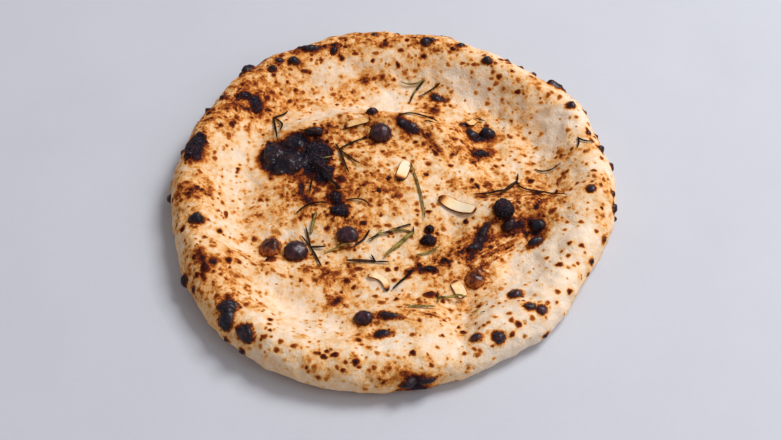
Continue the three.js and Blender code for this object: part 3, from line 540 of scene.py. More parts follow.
class Blister:
    """A bubble of crust: where it stands, its axes, and how its skin bulges out of the bread."""

    def __init__(self, centre, normal, half_length, half_width, turn, rise, finish):
        self.centre = np.asarray(centre, float)
        self.normal = np.asarray(normal, float)
        ahead = np.array([math.cos(math.radians(turn)), math.sin(math.radians(turn)), 0])
        if abs(self.normal[2]) < 0.3:  # on the side, where it lies along the rim
            ahead = np.cross(self.normal, (0, 0, 1))
        ahead = ahead - self.normal * (ahead @ self.normal)
        self.along = ahead / np.linalg.norm(ahead)
        self.across = np.cross(self.normal, self.along)
        self.half_length = half_length
        self.half_width = half_width
        self.rise = rise
        self.finish = finish
        self.phase = half_length * 7.1 + self.centre[0] * 0.37
        self.fullness = rise / math.sqrt(half_length * half_width)
        self.domed = finish in ("plum", "amber")
        self.raggedness = 0.12 if self.domed else min(1.0, max(0.2, 1.5 - self.fullness))

    def nearby(self, points, margin=1.3):
        """Numbers of the points in a box round the blister."""
        size = margin * max(self.half_length, self.half_width)
        away = np.abs(points - self.centre)
        return np.flatnonzero((away[:, 0] < size) & (away[:, 1] < size) & (away[:, 2] < size))

    def reach(self, points, wobble=0.0):
        """Distance from the middle as a share of the blister's size: 1 on its outline."""
        away = points - self.centre
        u = away @ self.along / self.half_length
        v = away @ self.across / self.half_width
        depth = away @ self.normal / max(self.half_length, 8)
        bearing = np.arctan2(v, u)
        lobes = 0.10 * np.sin(2 * bearing + self.phase) + 0.09 * np.sin(3 * bearing - self.phase)
        uneven = (lobes + 0.22 * wobble) * self.raggedness + 0.04 * wobble
        return np.sqrt(u**2 + v**2 + depth**2) * (1 + uneven)

    def swell(self, points, wobble=0.0):
        """Points moved out over a bubble that is steeper the more it rises for its size."""
        share = self.reach(points, wobble)
        inside = share < 1
        wobble = np.broadcast_to(wobble, share.shape)[inside]
        share = share[inside]
        ragged = self.raggedness
        sweep = math.radians(min(105 - 23 * ragged, 50 - 18 * ragged + 50 * self.fullness))
        turned = share * sweep
        spread = np.sin(turned) / math.sin(sweep) / np.maximum(share, 1e-6)
        lift = self.rise * (np.cos(turned) - math.cos(sweep)) / (1 - math.cos(sweep))
        lift = lift * (1 - 0.35 * ragged * wobble)
        away = points[inside] - self.centre
        out = away @ self.normal
        flat = away - out[:, None] * self.normal
        bearing = np.arctan2(flat @ self.along, flat @ self.across)
        pleats = np.sin(13 * bearing + self.phase) + 0.6 * np.sin(21 * bearing - self.phase)
        depth = 0.045 if self.domed else 0.022
        spread = spread * (1 + depth * pleats * smooth((share - 0.45) / 0.3))
        result = points.copy()
        result[inside] = self.centre + flat * spread[:, None] + (out + lift)[:, None] * self.normal
        return result


def named_blisters():
    """The blisters of the two tables."""
    blisters = []
    for x, y, half_length, half_width, turn, rise, finish in TOP_BLISTERS:
        centre = (x, y, float(crust_height(x, y)))
        blisters.append(
            Blister(centre, crust_normal(x, y), half_length, half_width, turn, rise, finish)
        )
    for bearing, drop, radius, rise in SIDE_BLISTERS:
        angle, tilt = math.radians(bearing), math.radians(drop)
        out = (math.sin(tilt) * math.cos(angle), math.sin(tilt) * math.sin(angle), math.cos(tilt))
        blisters.append(Blister(shoulder_point(angle, tilt), out, radius, radius, 0, rise, "black"))
    return blisters


PALE_CROWDING = 0.1  # how thickly small blisters stand on pale crust
TOASTED_CROWDING = 0.65  # added on toasted crust
RIM_CROWDING = 0.45  # added along the rim
SPOT_RISE = 0.28  # height of a spot's blister as a share of its half width
SIDE_SHARE = 1.3  # square of the way out to the lowest pimples on the side, where the crest is 1
LOWEST_PIMPLE = math.radians(80)  # how far round the side from the crest they lie


def crowding(x, y):
    """How thickly small blisters stand at a place, from 0 to 1."""
    inward = float(around(RIM_RADIUS, math.atan2(y, x))) - math.hypot(x, y)
    along_rim = RIM_CROWDING * (1 - float(smooth((inward - 10) / 25)))
    toasted = float(toast_level(np.array([[x, y, 0]]))[0])
    return min(1.0, PALE_CROWDING + TOASTED_CROWDING * toasted + along_rim)


def scattered_pimples(count, named):
    """Small seeded blisters that keep clear of each other and of the named ones."""
    chance = random.Random(SEED)
    pimples = []
    for x, y, half_length, half_width, turn, darkness in SPOTS:
        centre = np.array([x, y, float(crust_height(x, y))])
        rise = SPOT_RISE * half_width
        spot = Blister(centre, crust_normal(x, y), half_length, half_width, turn, rise, "spot")
        pimples.append((spot, darkness))
    named = named + [spot for spot, darkness in pimples]
    taken = [(blister.centre, max(blister.half_length, blister.half_width)) for blister in named]
    while len(pimples) < len(SPOTS) + count:
        angle = chance.uniform(0, FULL_TURN)
        out = math.sqrt(chance.uniform(0, SIDE_SHARE))
        radius = 0.8 + 0.9 * chance.random() ** 2
        rim = float(around(RIM_RADIUS, angle)) - SHOULDER
        if out < 1:
            x, y = out * rim * math.cos(angle), out * rim * math.sin(angle)
            centre = np.array([x, y, float(crust_height(x, y))])
            normal = crust_normal(x, y)
        else:
            drop = (out - 1) / (math.sqrt(SIDE_SHARE) - 1) * LOWEST_PIMPLE
            centre = shoulder_point(angle, drop)
            flat = math.sin(drop)
            normal = np.array([flat * math.cos(angle), flat * math.sin(angle), math.cos(drop)])
        if chance.random() > crowding(centre[0], centre[1]):
            continue
        if any(np.linalg.norm(centre - c) < size + radius * 1.1 for c, size in taken):
            continue
        taken.append((centre, radius))
        length = radius * chance.uniform(1.0, 1.35)
        turn = chance.uniform(0, 180)
        rise = radius * chance.uniform(0.2, 0.5)
        tone = chance.uniform(0.4, 1.0) if radius > 1.3 else chance.uniform(0.0, 0.7)
        pimples.append((Blister(centre, normal, length, radius, turn, rise, "spot"), tone))
    return pimples


def refine(mesh, blisters):
    """Splits the triangles that the blisters stand on, so that their skins are fine too."""
    points = points_of(mesh)
    near = np.zeros(len(points), bool)
    for blister in blisters:
        around_it = blister.nearby(points, 1.6)
        near[around_it] |= blister.reach(points[around_it]) < 1.15
    shape = bmesh.new()
    shape.from_mesh(mesh)
    shape.verts.ensure_lookup_table()
    edges = [e for e in shape.edges if near[e.verts[0].index] or near[e.verts[1].index]]
    bmesh.ops.subdivide_edges(shape, edges=edges, cuts=1, use_grid_fill=True)
    bmesh.ops.triangulate(shape, faces=[f for f in shape.faces if len(f.verts) > 3])
    shape.to_mesh(mesh)
    shape.free()


def toast_level(points):
    """How baked the crust is, before its spots: 0 pale and 1 golden."""
    patches = OVERALL_TOAST + mounds(TOASTED, points[:, 0], points[:, 1])
    creases = mounds(CREASES, points[:, 0], points[:, 1])
    low = smooth((9 - points[:, 2]) / 6)
    patches += FLANK_TOAST * flank(points) + FOOT_TOAST * low + CREASE_TOAST * creases
    return MOST_TOAST * (1 - np.exp(-0.82 * np.maximum(patches, 0)))


def flank(points):
    """1 on the rim's outside, below its shoulder, and 0 on the top."""
    inward = around(RIM_RADIUS, np.arctan2(points[:, 1], points[:, 0]))
    inward = inward - np.hypot(points[:, 0], points[:, 1])
    return (1 - smooth(inward / 6)) * smooth((22 - points[:, 2]) / 10)


def burnt_depth(points):
    """Distance in from the ragged outline of the burnt patches: negative outside them."""
    depth = np.full(len(points), OUTSIDE)
    for patch in BURNT:
        away = np.hypot(*in_patch(patch, points[:, 0], points[:, 1]))
        depth = np.maximum(depth, (1 - away) * min(patch[2], patch[3]))
    return depth


def undulate(mesh, settings):
    """Makes the smooth dough uneven, marks where it is raised, and gives back its points."""
    points = points_of(mesh)
    off_floor = smooth(points[:, 2] / 7)
    surge = rough(points, 24, 2)
    ripple = rough(points + 50, 10, 2)
    crinkle = rough(points + 90, 3.5, 2)
    lift = surge * settings.undulation + ripple * settings.ripple + crinkle * settings.crinkle
    lift = lift / MM + mounds(CREASES, points[:, 0], points[:, 1])
    points = points + normals_of(mesh) * (lift * off_floor)[:, None]
    move_points(mesh, points)
    store(mesh, "raised", ripple)
    return points


def raise_pimples(points, pimples):
    """Moves points out over the pimples, and gives back the depth and tone of their spots."""
    spot = np.full(len(points), OUTSIDE)
    spot_tone = np.zeros(len(points))
    for pimple, tone in pimples:
        near = pimple.nearby(points, 3.5)
        depth = (1 - pimple.reach(points[near])) * pimple.half_width
        spot_tone[near] = np.where(depth > spot[near], tone, spot_tone[near])
        spot[near] = np.maximum(spot[near], depth)
        points[near] = pimple.swell(points[near])
    return spot, spot_tone


def build_bread(settings):
    """The dough with its blisters, marked with all that its colours go by."""
    bread = mesh_object("focaccia_bread", *stitch(bread_rings(settings.spacing / MM)))
    mesh = bread.data
    blisters = named_blisters()
    pimples = scattered_pimples(settings.pimples, blisters)
    refine(mesh, blisters + [pimple for pimple, tone in pimples])
    points = undulate(mesh, settings)
    marks = {
        "toast": toast_level(points),
        "streaked": mounds(STREAKED, points[:, 0], points[:, 1]),
        "flank": flank(points),
        "burnt": burnt_depth(points),
    }
    wobble = rough(points + 20, 5.5, 3)
    spot, spot_tone = raise_pimples(points, pimples)
    char = np.full(len(points), OUTSIDE)
    skins = {name: np.zeros(len(points)) for name in ("black", "plum", "amber", "crumbly")}
    for blister in blisters:
        share = blister.reach(points, wobble)
        depth = (1 - share) * min(blister.half_length, blister.half_width)
        if blister.finish == "brown":
            spot_tone = np.where(depth > spot, BROWN_TONE, spot_tone)
            spot = np.maximum(spot, depth)
        else:
            char = np.maximum(char, depth)
            skin = skins[blister.finish]
            np.maximum(skin, smooth((1.15 - share) / 0.3), out=skin)
        points = blister.swell(points, wobble)
    move_points(mesh, points)
    flaky = (rough(points, 2.4, 2) * 0.5 + rough(points + 7, 1.2, 2) * 0.35) * skins["crumbly"]
    flaky += rough(points + 3, 5, 3) * 0.8 * skins["black"]
    flaky += rough(points + 5, 5, 3) * 0.7 * np.maximum(skins["plum"], skins["amber"])
    move_points(mesh, points + normals_of(mesh) * flaky[:, None])
    marks.update(skins, char=char, spot=spot, spot_tone=spot_tone)
    for name, values in marks.items():
        store(mesh, name, values)
    return bread


# ---------------------------------------------------------------------------
# Toppings, in millimetres and degrees
# ---------------------------------------------------------------------------


def leaf(heading, length, **more):
    """One leaf of a table: where it heads at its base, how long it is, and what else sets it apart."""
    return {"heading": heading, "length": length, **more}


# Leaves of rosemary: node, x and y of the stem, and its leaves. A leaf turns by its bend from base
# to tip, sways out and back, and is burnt by its tone: 0 fresh, 1 charred, and any if not given.
CHARRED_SPRIGS = (
    ("rosemary_left_back", -83, 68, (
        leaf(-80, 26), leaf(-32, 22, bend=-82), leaf(22, 13, bend=38),
    )),
    ("rosemary_crown_bud", -64, 48, (leaf(-46, 17, bend=58, width=1.7),)),
    ("rosemary_crown", -36, 31, (
        leaf(-74, 22, bend=4), leaf(-52, 20, bend=15), leaf(30, 23, bend=8, width=1.8),
        leaf(118, 6),
    )),
    ("rosemary_crown_broad", -54, 19, (leaf(-49, 30, width=3.6, thickness=1.4),)),
    ("rosemary_crown_brown", -53, 7, (leaf(-106, 12, bend=16, width=1.6),)),
    ("rosemary_fold", 4, 59, (leaf(25, 29, bend=-62, width=1.9),)),
    ("rosemary_left", -63, -18, (leaf(50, 23, bend=-72, width=1.7),)),
    ("rosemary_neck", -30, -11, (leaf(26, 17, bend=-84, width=1.7),)),
    ("rosemary_middle_dark", -15, -32, (leaf(-109, 17, bend=-32, width=2.2),)),
    ("rosemary_front_sprig", -11, -56, (
        leaf(176, 19, bend=4, width=2.8), leaf(-4, 9, width=1.6), leaf(118, 6, width=1.7),
    )),
    ("rosemary_right_sprig", 83.5, 11, (
        leaf(-137, 23, bend=24, width=2.8), leaf(-122, 36, bend=-62, width=2.2, tone=0.9),
        leaf(-88, 40, bend=48, sway=42, width=1.9), leaf(82, 8, width=1.6),
    )),
    ("rosemary_right_thin", 96, 23, (leaf(-36, 18, bend=64, width=1.6),)),
    ("rosemary_front_curled", 13, -63, (leaf(-129, 20, bend=-6, width=2.2, tone=0.7),)),
    ("rosemary_rim_pair", 125, 39, (
        leaf(-66, 14, bend=110, width=1.8, tip=0.4), leaf(-76, 11, bend=-44, width=1.7),
    )),
)
GREEN_SPRIGS = (
    ("rosemary_back_pair", 23, 105, (leaf(204, 18, bend=-50), leaf(-141, 21, bend=42, width=2.4))),
    ("rosemary_back", 34, 102, (leaf(-150, 18, bend=4, width=1.7, tone=0.8),)),
    ("rosemary_left_broad", -50, -18, (leaf(-101, 17, width=2.8, tone=0.45),)),
    ("rosemary_left_sprig", -53, -43, (
        leaf(104, 15, width=1.8, tone=0.9), leaf(128, 10, width=1.6, tone=1.0),
        leaf(-8, 10, width=2.2, tone=1.1), leaf(-66, 19, width=2.2, tone=1.1),
    )),
    ("rosemary_left_pale", -44, -49, (leaf(33, 21, bend=-46, width=1.8, tone=0.2),)),
    ("rosemary_middle_small", -7, -32, (leaf(-125, 12, bend=-8, width=2, tone=0.2),)),
    ("rosemary_middle_sprig", 13.5, -34, (
        leaf(-143, 27, bend=18, width=3.8, thickness=1.4, tone=0.1),
        leaf(156, 17, bend=44, width=2, tone=0.5), leaf(92, 5, width=1.6, tone=1.0),
    )),
    ("rosemary_middle_long", 12, -27, (leaf(-158, 31, bend=6, width=2.2, tone=0.7),)),
    ("rosemary_long", 12, 18, (leaf(-69, 42, bend=-17, width=2, tone=0.4),)),
    ("rosemary_middle_pale", 15.5, -51, (leaf(11, 16, bend=20, width=2.1, tone=0.1),)),
    ("rosemary_front_right", 28.5, -83, (
        leaf(4, 18, bend=1, width=2.6, tone=0.3), leaf(-92, 5, width=1.7, tone=0.7),
        leaf(96, 4, width=1.6, tone=0.7),
    )),
    ("rosemary_front", 9.5, -95, (leaf(16, 17, bend=-18, width=2.3, tone=0.1),)),
)

# Flecks too small to be parts of their own, in the same way
CHARRED_FLECKS = (
    ("fleck", 54, -98.5, (leaf(-18, 3, width=1.0, tone=1.0),)),
    ("fleck", 58.5, 70, (leaf(-16, 6.5, width=1.5, tone=1.0),)),
    ("fleck", 22, 55, (leaf(-16, 6.5, width=1.4, tone=1.0),)),
)
GREEN_FLECKS = (
    ("fleck", -47, 22, (leaf(17, 7, width=1.3, tone=0.0),)),
    ("fleck", 49, -96, (leaf(13, 5, width=1.3, tone=0.1),)),
)

# Slices of garlic: node, then how it lies and how far its start, end, edges and face are browned
GARLIC = (
    ("garlic_long", {
        "start": (30.5, -6.5), "heading": -31, "length": 28, "bend": -3, "width": 8.6,
        "brown": (1.0, 0.1, 0.8, 0.0),
    }),
    ("garlic_middle", {
        "start": (9.5, 21), "heading": -104, "length": 17, "bend": -6, "width": 8,
        "brown": (0.0, 1.1, 0.9, 0.0),
    }),
    ("garlic_front", {
        "start": (38.5, -71), "heading": -58, "length": 12, "width": 8,
        "brown": (1.0, 0.2, 0.7, 0.2),
    }),
    ("garlic_curl", {
        "start": (-16, -67), "heading": 10, "length": 20, "bend": -108, "width": 4.4,
        "brown": (0.6, 1.1, 0.7, 0.12),
    }),
    ("garlic_sliver", {
        "start": (-33, 49), "heading": 24, "length": 19, "bend": -10, "width": 4,
        "brown": (1.0, 0.8, 1.1, 0.33),
    }),
    ("garlic_caught", {
        "start": (52, 62), "heading": 50, "length": 10, "width": 5,
        "brown": (0.9, 0.8, 0.9, 0.3),
    }),
)

CLEARANCE = 0.12  # gap kept between a topping and what it lies on
SAG = 0.5  # how far a topping may dip between two of its stations
STATION = 4.2  # distance between the stations a topping rests by
SAMPLES = 4  # places from one station to the next where the ground is felt
SETTLING_ROUNDS = 60  # enough for a topping's stations to come to rest
ROUTE_STEPS = 60  # steps that a topping's way in plan is added up from


class Ground:
    """What the toppings lie on, found by looking straight down."""

    def __init__(self):
        self.trees = []

    def add(self, piece):
        """Lets toppings lie on a piece too."""
        points = [vertex.co for vertex in piece.data.vertices]
        faces = [tuple(face.vertices) for face in piece.data.polygons]
        self.trees.append(BVHTree.FromPolygons(points, faces))

    def height(self, x, y):
        """Height of the highest thing at a place."""
        heights = [0.0]
        for tree in self.trees:
            hit = tree.ray_cast(Vector((x * MM, y * MM, 0.1)), Vector((0, 0, -1)))[0]
            if hit is not None:
                heights.append(hit.z / MM)
        return max(heights)


def eased(values, shares, places):
    """Smooth curve through values at rising shares, read at places."""
    slopes = np.gradient(values, shares)
    step = np.clip(np.searchsorted(shares, places) - 1, 0, len(shares) - 2)
    gap = shares[step + 1] - shares[step]
    t = (places - shares[step]) / gap
    low, high = values[step], values[step + 1]
    rise = slopes[step] * gap * (t**3 - 2 * t**2 + t) + slopes[step + 1] * gap * (t**3 - t**2)
    return low * (2 * t**3 - 3 * t**2 + 1) + high * (3 * t**2 - 2 * t**3) + rise


class Strip:
    """A leaf or a slice that lies on the bread: its way in plan and its height."""

    def __init__(self, start, heading, length, bend=0, sway=0, width=2.1, thickness=1.0, tip=0.8):
        self.start = start
        self.heading = heading
        self.length = length
        self.bend = bend
        self.sway = sway
        self.width = width
        self.thickness = thickness
        self.tip = tip

    def plan(self, shares):
        """Places along the middle line, and the way it heads there."""
        turn = np.radians(self.turned((np.arange(ROUTE_STEPS) + 0.5) / ROUTE_STEPS))
        step = self.length / ROUTE_STEPS
        route = np.zeros((ROUTE_STEPS + 1, 2))
        route[1:] = np.cumsum(np.stack([np.cos(turn), np.sin(turn)], -1) * step, 0)
        whole = np.linspace(0, 1, ROUTE_STEPS + 1)
        x = np.interp(shares, whole, route[:, 0]) + self.start[0]
        y = np.interp(shares, whole, route[:, 1]) + self.start[1]
        heading = np.radians(self.turned(np.asarray(shares)))
        return x, y, np.cos(heading), np.sin(heading)

    def turned(self, share):
        """Heading at a share of the length, in degrees."""
        return self.heading + self.bend * share + self.sway * np.sin(np.pi * share)

    def resting(self, ground, tilt=0.0, steps=None):
        """Stations along the strip, and heights there that keep it clear of the ground."""
        if steps is None:
            steps = max(2, round(self.length / STATION))
        fine = np.linspace(0, 1, steps * SAMPLES + 1)
        reach = self.width / 2 + CLEARANCE
        below = []
        for x, y, dx, dy in zip(*self.plan(fine)):
            sides = [side * reach for side in (-1, -0.5, 0, 0.5, 1)]
            below.append(max(ground.height(x - dy * o, y + dx * o) - o * tilt for o in sides))
        heights = np.array(below[::SAMPLES], float)
        for _ in range(3):
            for i in range(steps):
                for k in range(1, SAMPLES):
                    line = heights[i] + (heights[i + 1] - heights[i]) * k / SAMPLES
                    heights[i : i + 2] += max(0.0, below[i * SAMPLES + k] - line)
        for _ in range(SETTLING_ROUNDS):
            for i in range(1, steps):
                heights[i] = max(heights[i], (heights[i - 1] + heights[i + 1]) / 2 - SAG)
        return fine[::SAMPLES], heights

    def heights_at(self, shares, stations, heights):
        """Heights of the middle line, over what it rests on at its stations."""
        return eased(heights, stations, shares) + CLEARANCE + self.thickness / 2

    def middle_line(self, ground, spacing):
        """Shares of the length, and the points of the middle line there."""
        shares = np.linspace(0, 1, max(6, round(self.length / spacing)) + 1)
        x, y = self.plan(shares)[:2]
        high = self.heights_at(shares, *self.resting(ground))
        return shares, np.stack([x, y, high + self.tip * shares**2], -1)


LEAF_SPACING = 1.0  # distance between the points of a leaf's middle line
MOST_ROLL = 16  # degrees that a leaf may roll to a side, and back


def leaf_width(share):
    """Breadth of a leaf at a share of its length: its stem is narrow and its tip round."""
    return 0.22 + 0.78 * np.sqrt(np.sin(np.pi * (0.1 + 0.9 * share)))


def leaf_lines(name, sprigs, breadth, ground):
    """The middle lines of a set of leaves, as loose edges with what the leaves are made by."""
    chance = random.Random(SEED)
    points, edges = [], []
    marks = {"share": [], "half_width": [], "tone": [], "curl": []}
    for _, x, y, leaves in sprigs:
        for values in leaves:
            shape = dict(values)
            tone = shape.pop("tone", chance.uniform(0.0, 1.0))
            strip = Strip((x, y), **shape)
            shares, line = strip.middle_line(ground, LEAF_SPACING)
            first = len(points)
            points.extend(line)
            edges.extend((first + i, first + i + 1) for i in range(len(line) - 1))
            marks["share"].extend(shares)
            marks["half_width"].extend(leaf_width(shares) * breadth * strip.width / 2 * MM)
            marks["tone"].extend([tone] * len(line))
            roll = math.radians(chance.uniform(-MOST_ROLL, MOST_ROLL))
            marks["curl"].extend(roll * np.sin(FULL_TURN * shares))
    mesh = bpy.data.meshes.new(name)
    mesh.from_pydata((np.array(points) * MM).tolist(), edges, [])
    for mark, values in marks.items():
        store(mesh, mark, np.array(values))
    lines = bpy.data.objects.new(name, mesh)
    bpy.context.scene.collection.objects.link(lines)
    return lines


def leaves_tree(graph, given):
    """Sweeps a leaf's section along each line of its middle."""
    profile = graph.node("GeometryNodeCurvePrimitiveCircle", inputs={0: given["Corners"], 4: 1.0})
    place = graph.node("GeometryNodeInputPosition")
    across, up = (graph.node("ShaderNodeSeparateXYZ", inputs={0: place}, output=k) for k in (0, 1))
    top = up.step(-0.2, 0.2)
    groove = given["Groove"] * top * abs(across).step(0.34, 0.0)
    high = up * given["Thickness"] - across * across * given["Arch"] - groove
    section = graph.node("ShaderNodeCombineXYZ", inputs={0: across, 1: high, 2: 0.0})
    profile = graph.node(
        "GeometryNodeStoreNamedAttribute", {"data_type": "FLOAT", "domain": "POINT"},
        {0: profile, 2: "across", 3: across},
    )
    profile = graph.node("GeometryNodeSetPosition", inputs={0: profile, 2: section})
    curve = graph.node("GeometryNodeMeshToCurve", inputs={0: given["Geometry"]})
    curve = graph.node("GeometryNodeSetCurveNormal", {"mode": "Z_UP"}, {0: curve})
    curve = graph.node("GeometryNodeSetCurveTilt", inputs={0: curve, 2: graph.named("curl")})
    swept = graph.node(
        "GeometryNodeCurveToMesh",
        inputs={0: curve, 1: profile, 2: graph.named("half_width"), 3: True},
    )
    return graph.dented(swept, (graph.noise(place, 2.4, 2) - 0.5) * given["Wrinkle"])


CRUMB_DENTS = 900  # size of a crumb's dents, in thousandths of its radius


def crumbs_tree(graph, given):
    """Scatters crumbs of char over the burnt crust."""
    crowd = graph.named("crumbly") * given["Crumbs per area"]
    scattered = {"distribute_method": "RANDOM"}
    inputs = {0: given["Geometry"], 4: crowd, 6: given["Seed"]}
    points = graph.node("GeometryNodeDistributePointsOnFaces", scattered, inputs)
    crumb = graph.node("GeometryNodeMeshIcoSphere", inputs={0: 1.0, 1: 1})
    place = graph.node("GeometryNodeInputPosition")
    crumb = graph.dented(crumb, (graph.noise(place, CRUMB_DENTS, 2) - 0.5) * 1.2)
    size = graph.node(
        "FunctionNodeRandomValue", {"data_type": "FLOAT"},
        {2: given["Smallest"], 3: given["Largest"], 8: given["Seed"]}, output=1,
    )
    turn = graph.node(
        "FunctionNodeRandomValue", {"data_type": "FLOAT_VECTOR"},
        {0: (0, 0, 0), 1: (FULL_TURN,) * 3, 8: given["Seed"]}, output=0,
    )
    return graph.node(
        "GeometryNodeInstanceOnPoints", inputs={0: points, 2: crumb, 5: turn, 6: size}
    )


def grown(name, source, build, values, material):
    """A plain mesh that a Geometry Nodes tree makes from a source, which is then removed."""
    tree = bpy.data.node_groups.new(name, "GeometryNodeTree")
    graph = Graph(tree)
    tree.interface.new_socket("Geometry", in_out="INPUT", socket_type="NodeSocketGeometry")
    kinds = {int: "NodeSocketInt", float: "NodeSocketFloat"}
    sockets = {}
    for label, value in values.items():
        sockets[label] = tree.interface.new_socket(
            label, in_out="INPUT", socket_type=kinds[type(value)]
        )
    finish = tree.interface.new_socket("Material", in_out="INPUT", socket_type="NodeSocketMaterial")
    tree.interface.new_socket("Geometry", in_out="OUTPUT", socket_type="NodeSocketGeometry")
    entry = tree.nodes.new("NodeGroupInput")
    given = {socket.name: Field(graph, socket) for socket in entry.outputs if socket.name}
    made = graph.node("GeometryNodeRealizeInstances", inputs={0: build(graph, given)})
    made = graph.node("GeometryNodeSetShadeSmooth", inputs={0: made, 2: True})
    made = graph.node("GeometryNodeSetMaterial", inputs={0: made, 2: given["Material"]})
    graph.node("NodeGroupOutput", inputs={0: made})
    modifier = source.modifiers.new(name, "NODES")
    modifier.node_group = tree
    for label, socket in sockets.items():
        modifier[socket.identifier] = values[label]
    modifier[finish.identifier] = material
    depsgraph = bpy.context.evaluated_depsgraph_get()
    mesh = bpy.data.meshes.new_from_object(source.evaluated_get(depsgraph))
    mesh.name = name
    source.modifiers.remove(modifier)
    bpy.data.objects.remove(source)
    piece = bpy.data.objects.new(name, mesh)
    bpy.context.scene.collection.objects.link(piece)
    return piece


SECTION_POINTS = 28  # round a slice of garlic
SLICE_RINGS = 34
SLICE_STEPS = 6  # stations along a slice, but one
SLICE_THICKNESS = 1.8
SLICE_TIP = 0.012  # share of the length left off each end, where a slice would be a point


def slice_width(share):
    """Breadth of a slice at a share of its length."""
    return np.sqrt(np.maximum(0.0, 1 - np.abs(2 * share - 1) ** 4))


def garlic_slice(strip, ground):
    """Points and faces of one slice, thin in its middle, and how far each point lies along and out."""
    x, y, dx, dy = (float(value[0]) for value in strip.plan([0.5]))
    half = strip.width / 2
    left = ground.height(x - dy * half, y + dx * half)
    right = ground.height(x + dy * half, y - dx * half)
    tilt = (left - right) / strip.width
    shares = (1 - np.cos(np.pi * np.linspace(SLICE_TIP, 1 - SLICE_TIP, SLICE_RINGS))) / 2
    x, y, dx, dy = strip.plan(shares)
    high = strip.heights_at(shares, *strip.resting(ground, tilt, SLICE_STEPS))
    around_section = np.arange(SECTION_POINTS) / SECTION_POINTS * FULL_TURN
    cos, sin = np.cos(around_section), np.sin(around_section)
    across = np.sign(cos) * np.abs(cos) ** 0.55
    up = np.sign(sin) * np.abs(sin) ** 0.75
    width = slice_width(shares)[:, None]
    flat = across * half * width
    thin = 0.62 + 0.38 * np.abs(across) ** 3
    rise = up * thin * strip.thickness / 2 * np.sqrt(width)
    lift = high[:, None] + rise + flat * tilt
    rings = np.stack([
        x[:, None] - dy[:, None] * flat, y[:, None] + dx[:, None] * flat, lift
    ], -1)
    count = len(shares)
    faces = []
    for level in range(count - 1):
        for i in range(SECTION_POINTS):
            j = (i + 1) % SECTION_POINTS
            near, far = level * SECTION_POINTS, (level + 1) * SECTION_POINTS
            faces.append((near + i, far + i, far + j, near + j))
    faces.append(tuple(range(SECTION_POINTS)))
    faces.append(tuple(reversed(range((count - 1) * SECTION_POINTS, count * SECTION_POINTS))))
    along = np.repeat(shares, SECTION_POINTS)
    return rings.reshape(-1, 3), faces, along, np.tile(np.abs(across), count)


def build_garlic(ground):
    """All the slices as one mesh, marked with how brown they are."""
    points, faces, brown = [], [], []
    for _, slice_values in GARLIC:
        values = dict(slice_values)
        start_brown, end_brown, edge_brown, face_brown = values.pop("brown")
        strip = Strip(**values, thickness=SLICE_THICKNESS, tip=0)
        new_points, new_faces, shares, edges = garlic_slice(strip, ground)
        first = len(points)
        points.extend(new_points)
        faces.extend(tuple(first + i for i in face) for face in new_faces)
        ends = np.maximum(start_brown * (1 - shares) ** 5, end_brown * shares**5)
        tip = smooth((np.abs(2 * shares - 1) - 0.8) / 0.17)
        tip *= np.where(shares < 0.5, start_brown > 0, end_brown > 0)
        rim = np.maximum(smooth((edges - 0.8) / 0.17), tip)
        brown.extend(np.maximum(np.maximum(ends, rim * edge_brown), face_brown))
    garlic = mesh_object("garlic_slices", points, faces)
    store(garlic.data, "brown", np.array(brown))
    return garlic


# ---------------------------------------------------------------------------
# Materials
# ---------------------------------------------------------------------------


def srgb(red, green, blue):
    """A colour of 0 to 255 as Blender's linear colour."""
    linear = []
    for value in (red, green, blue):
        share = value / 255
        linear.append(share / 12.92 if share <= 0.04045 else ((share + 0.055) / 1.055) ** 2.4)
    return (*linear, 1.0)


CRUST_COLOURS = (  # from raw to burnt
    (0.00, srgb(246, 226, 205)),
    (0.12, srgb(244, 216, 186)),
    (0.25, srgb(242, 202, 158)),
    (0.38, srgb(237, 182, 120)),
    (0.50, srgb(224, 153, 79)),
    (0.60, srgb(197, 118, 49)),
    (0.70, srgb(160, 82, 31)),
    (0.80, srgb(116, 48, 21)),
    (0.90, srgb(72, 26, 18)),
    (1.00, srgb(34, 15, 16)),
)
AMBER_COLOURS = (  # translucent blisters, from their tops to their skirts
    (0.05, srgb(32, 18, 26)),
    (0.38, srgb(80, 36, 22)),
    (0.60, srgb(152, 72, 30)),
    (0.82, srgb(206, 126, 58)),
)
GARLIC_BROWNS = (  # from golden to burnt
    (0.20, srgb(253, 222, 172)),
    (0.38, srgb(236, 174, 98)),
    (0.52, srgb(180, 98, 36)),
    (0.68, srgb(108, 46, 16)),
    (0.90, srgb(40, 16, 10)),
)
BLACK_SOOT, RED_SOOT = srgb(24, 22, 34), srgb(54, 24, 28)
# Pale specks of painted glint over the soot, and brighter painted glints on the crumbly char
SOOT_GLINT, GLINT = srgb(92, 76, 86), srgb(112, 104, 116)
DARK_PLUM, LIGHT_PLUM = srgb(40, 24, 34), srgb(84, 46, 52)
BLACK_CRUMB, BROWN_CRUMB = srgb(24, 20, 26), srgb(58, 34, 30)

# Distances between the bumps of the crust's noises, in millimetres
BROAD, PATCH, MARBLE, SMUDGE, BLOTCH, SOOT_GLINT_SIZE, FINE, GRAIN = 22, 7, 6, 4.2, 3, 2.2, 1.6, 0.7
STREAK_LENGTH = 7  # how many times longer than wide the streaks are
WANDER = 0.0022  # how far the freckles' outlines stray


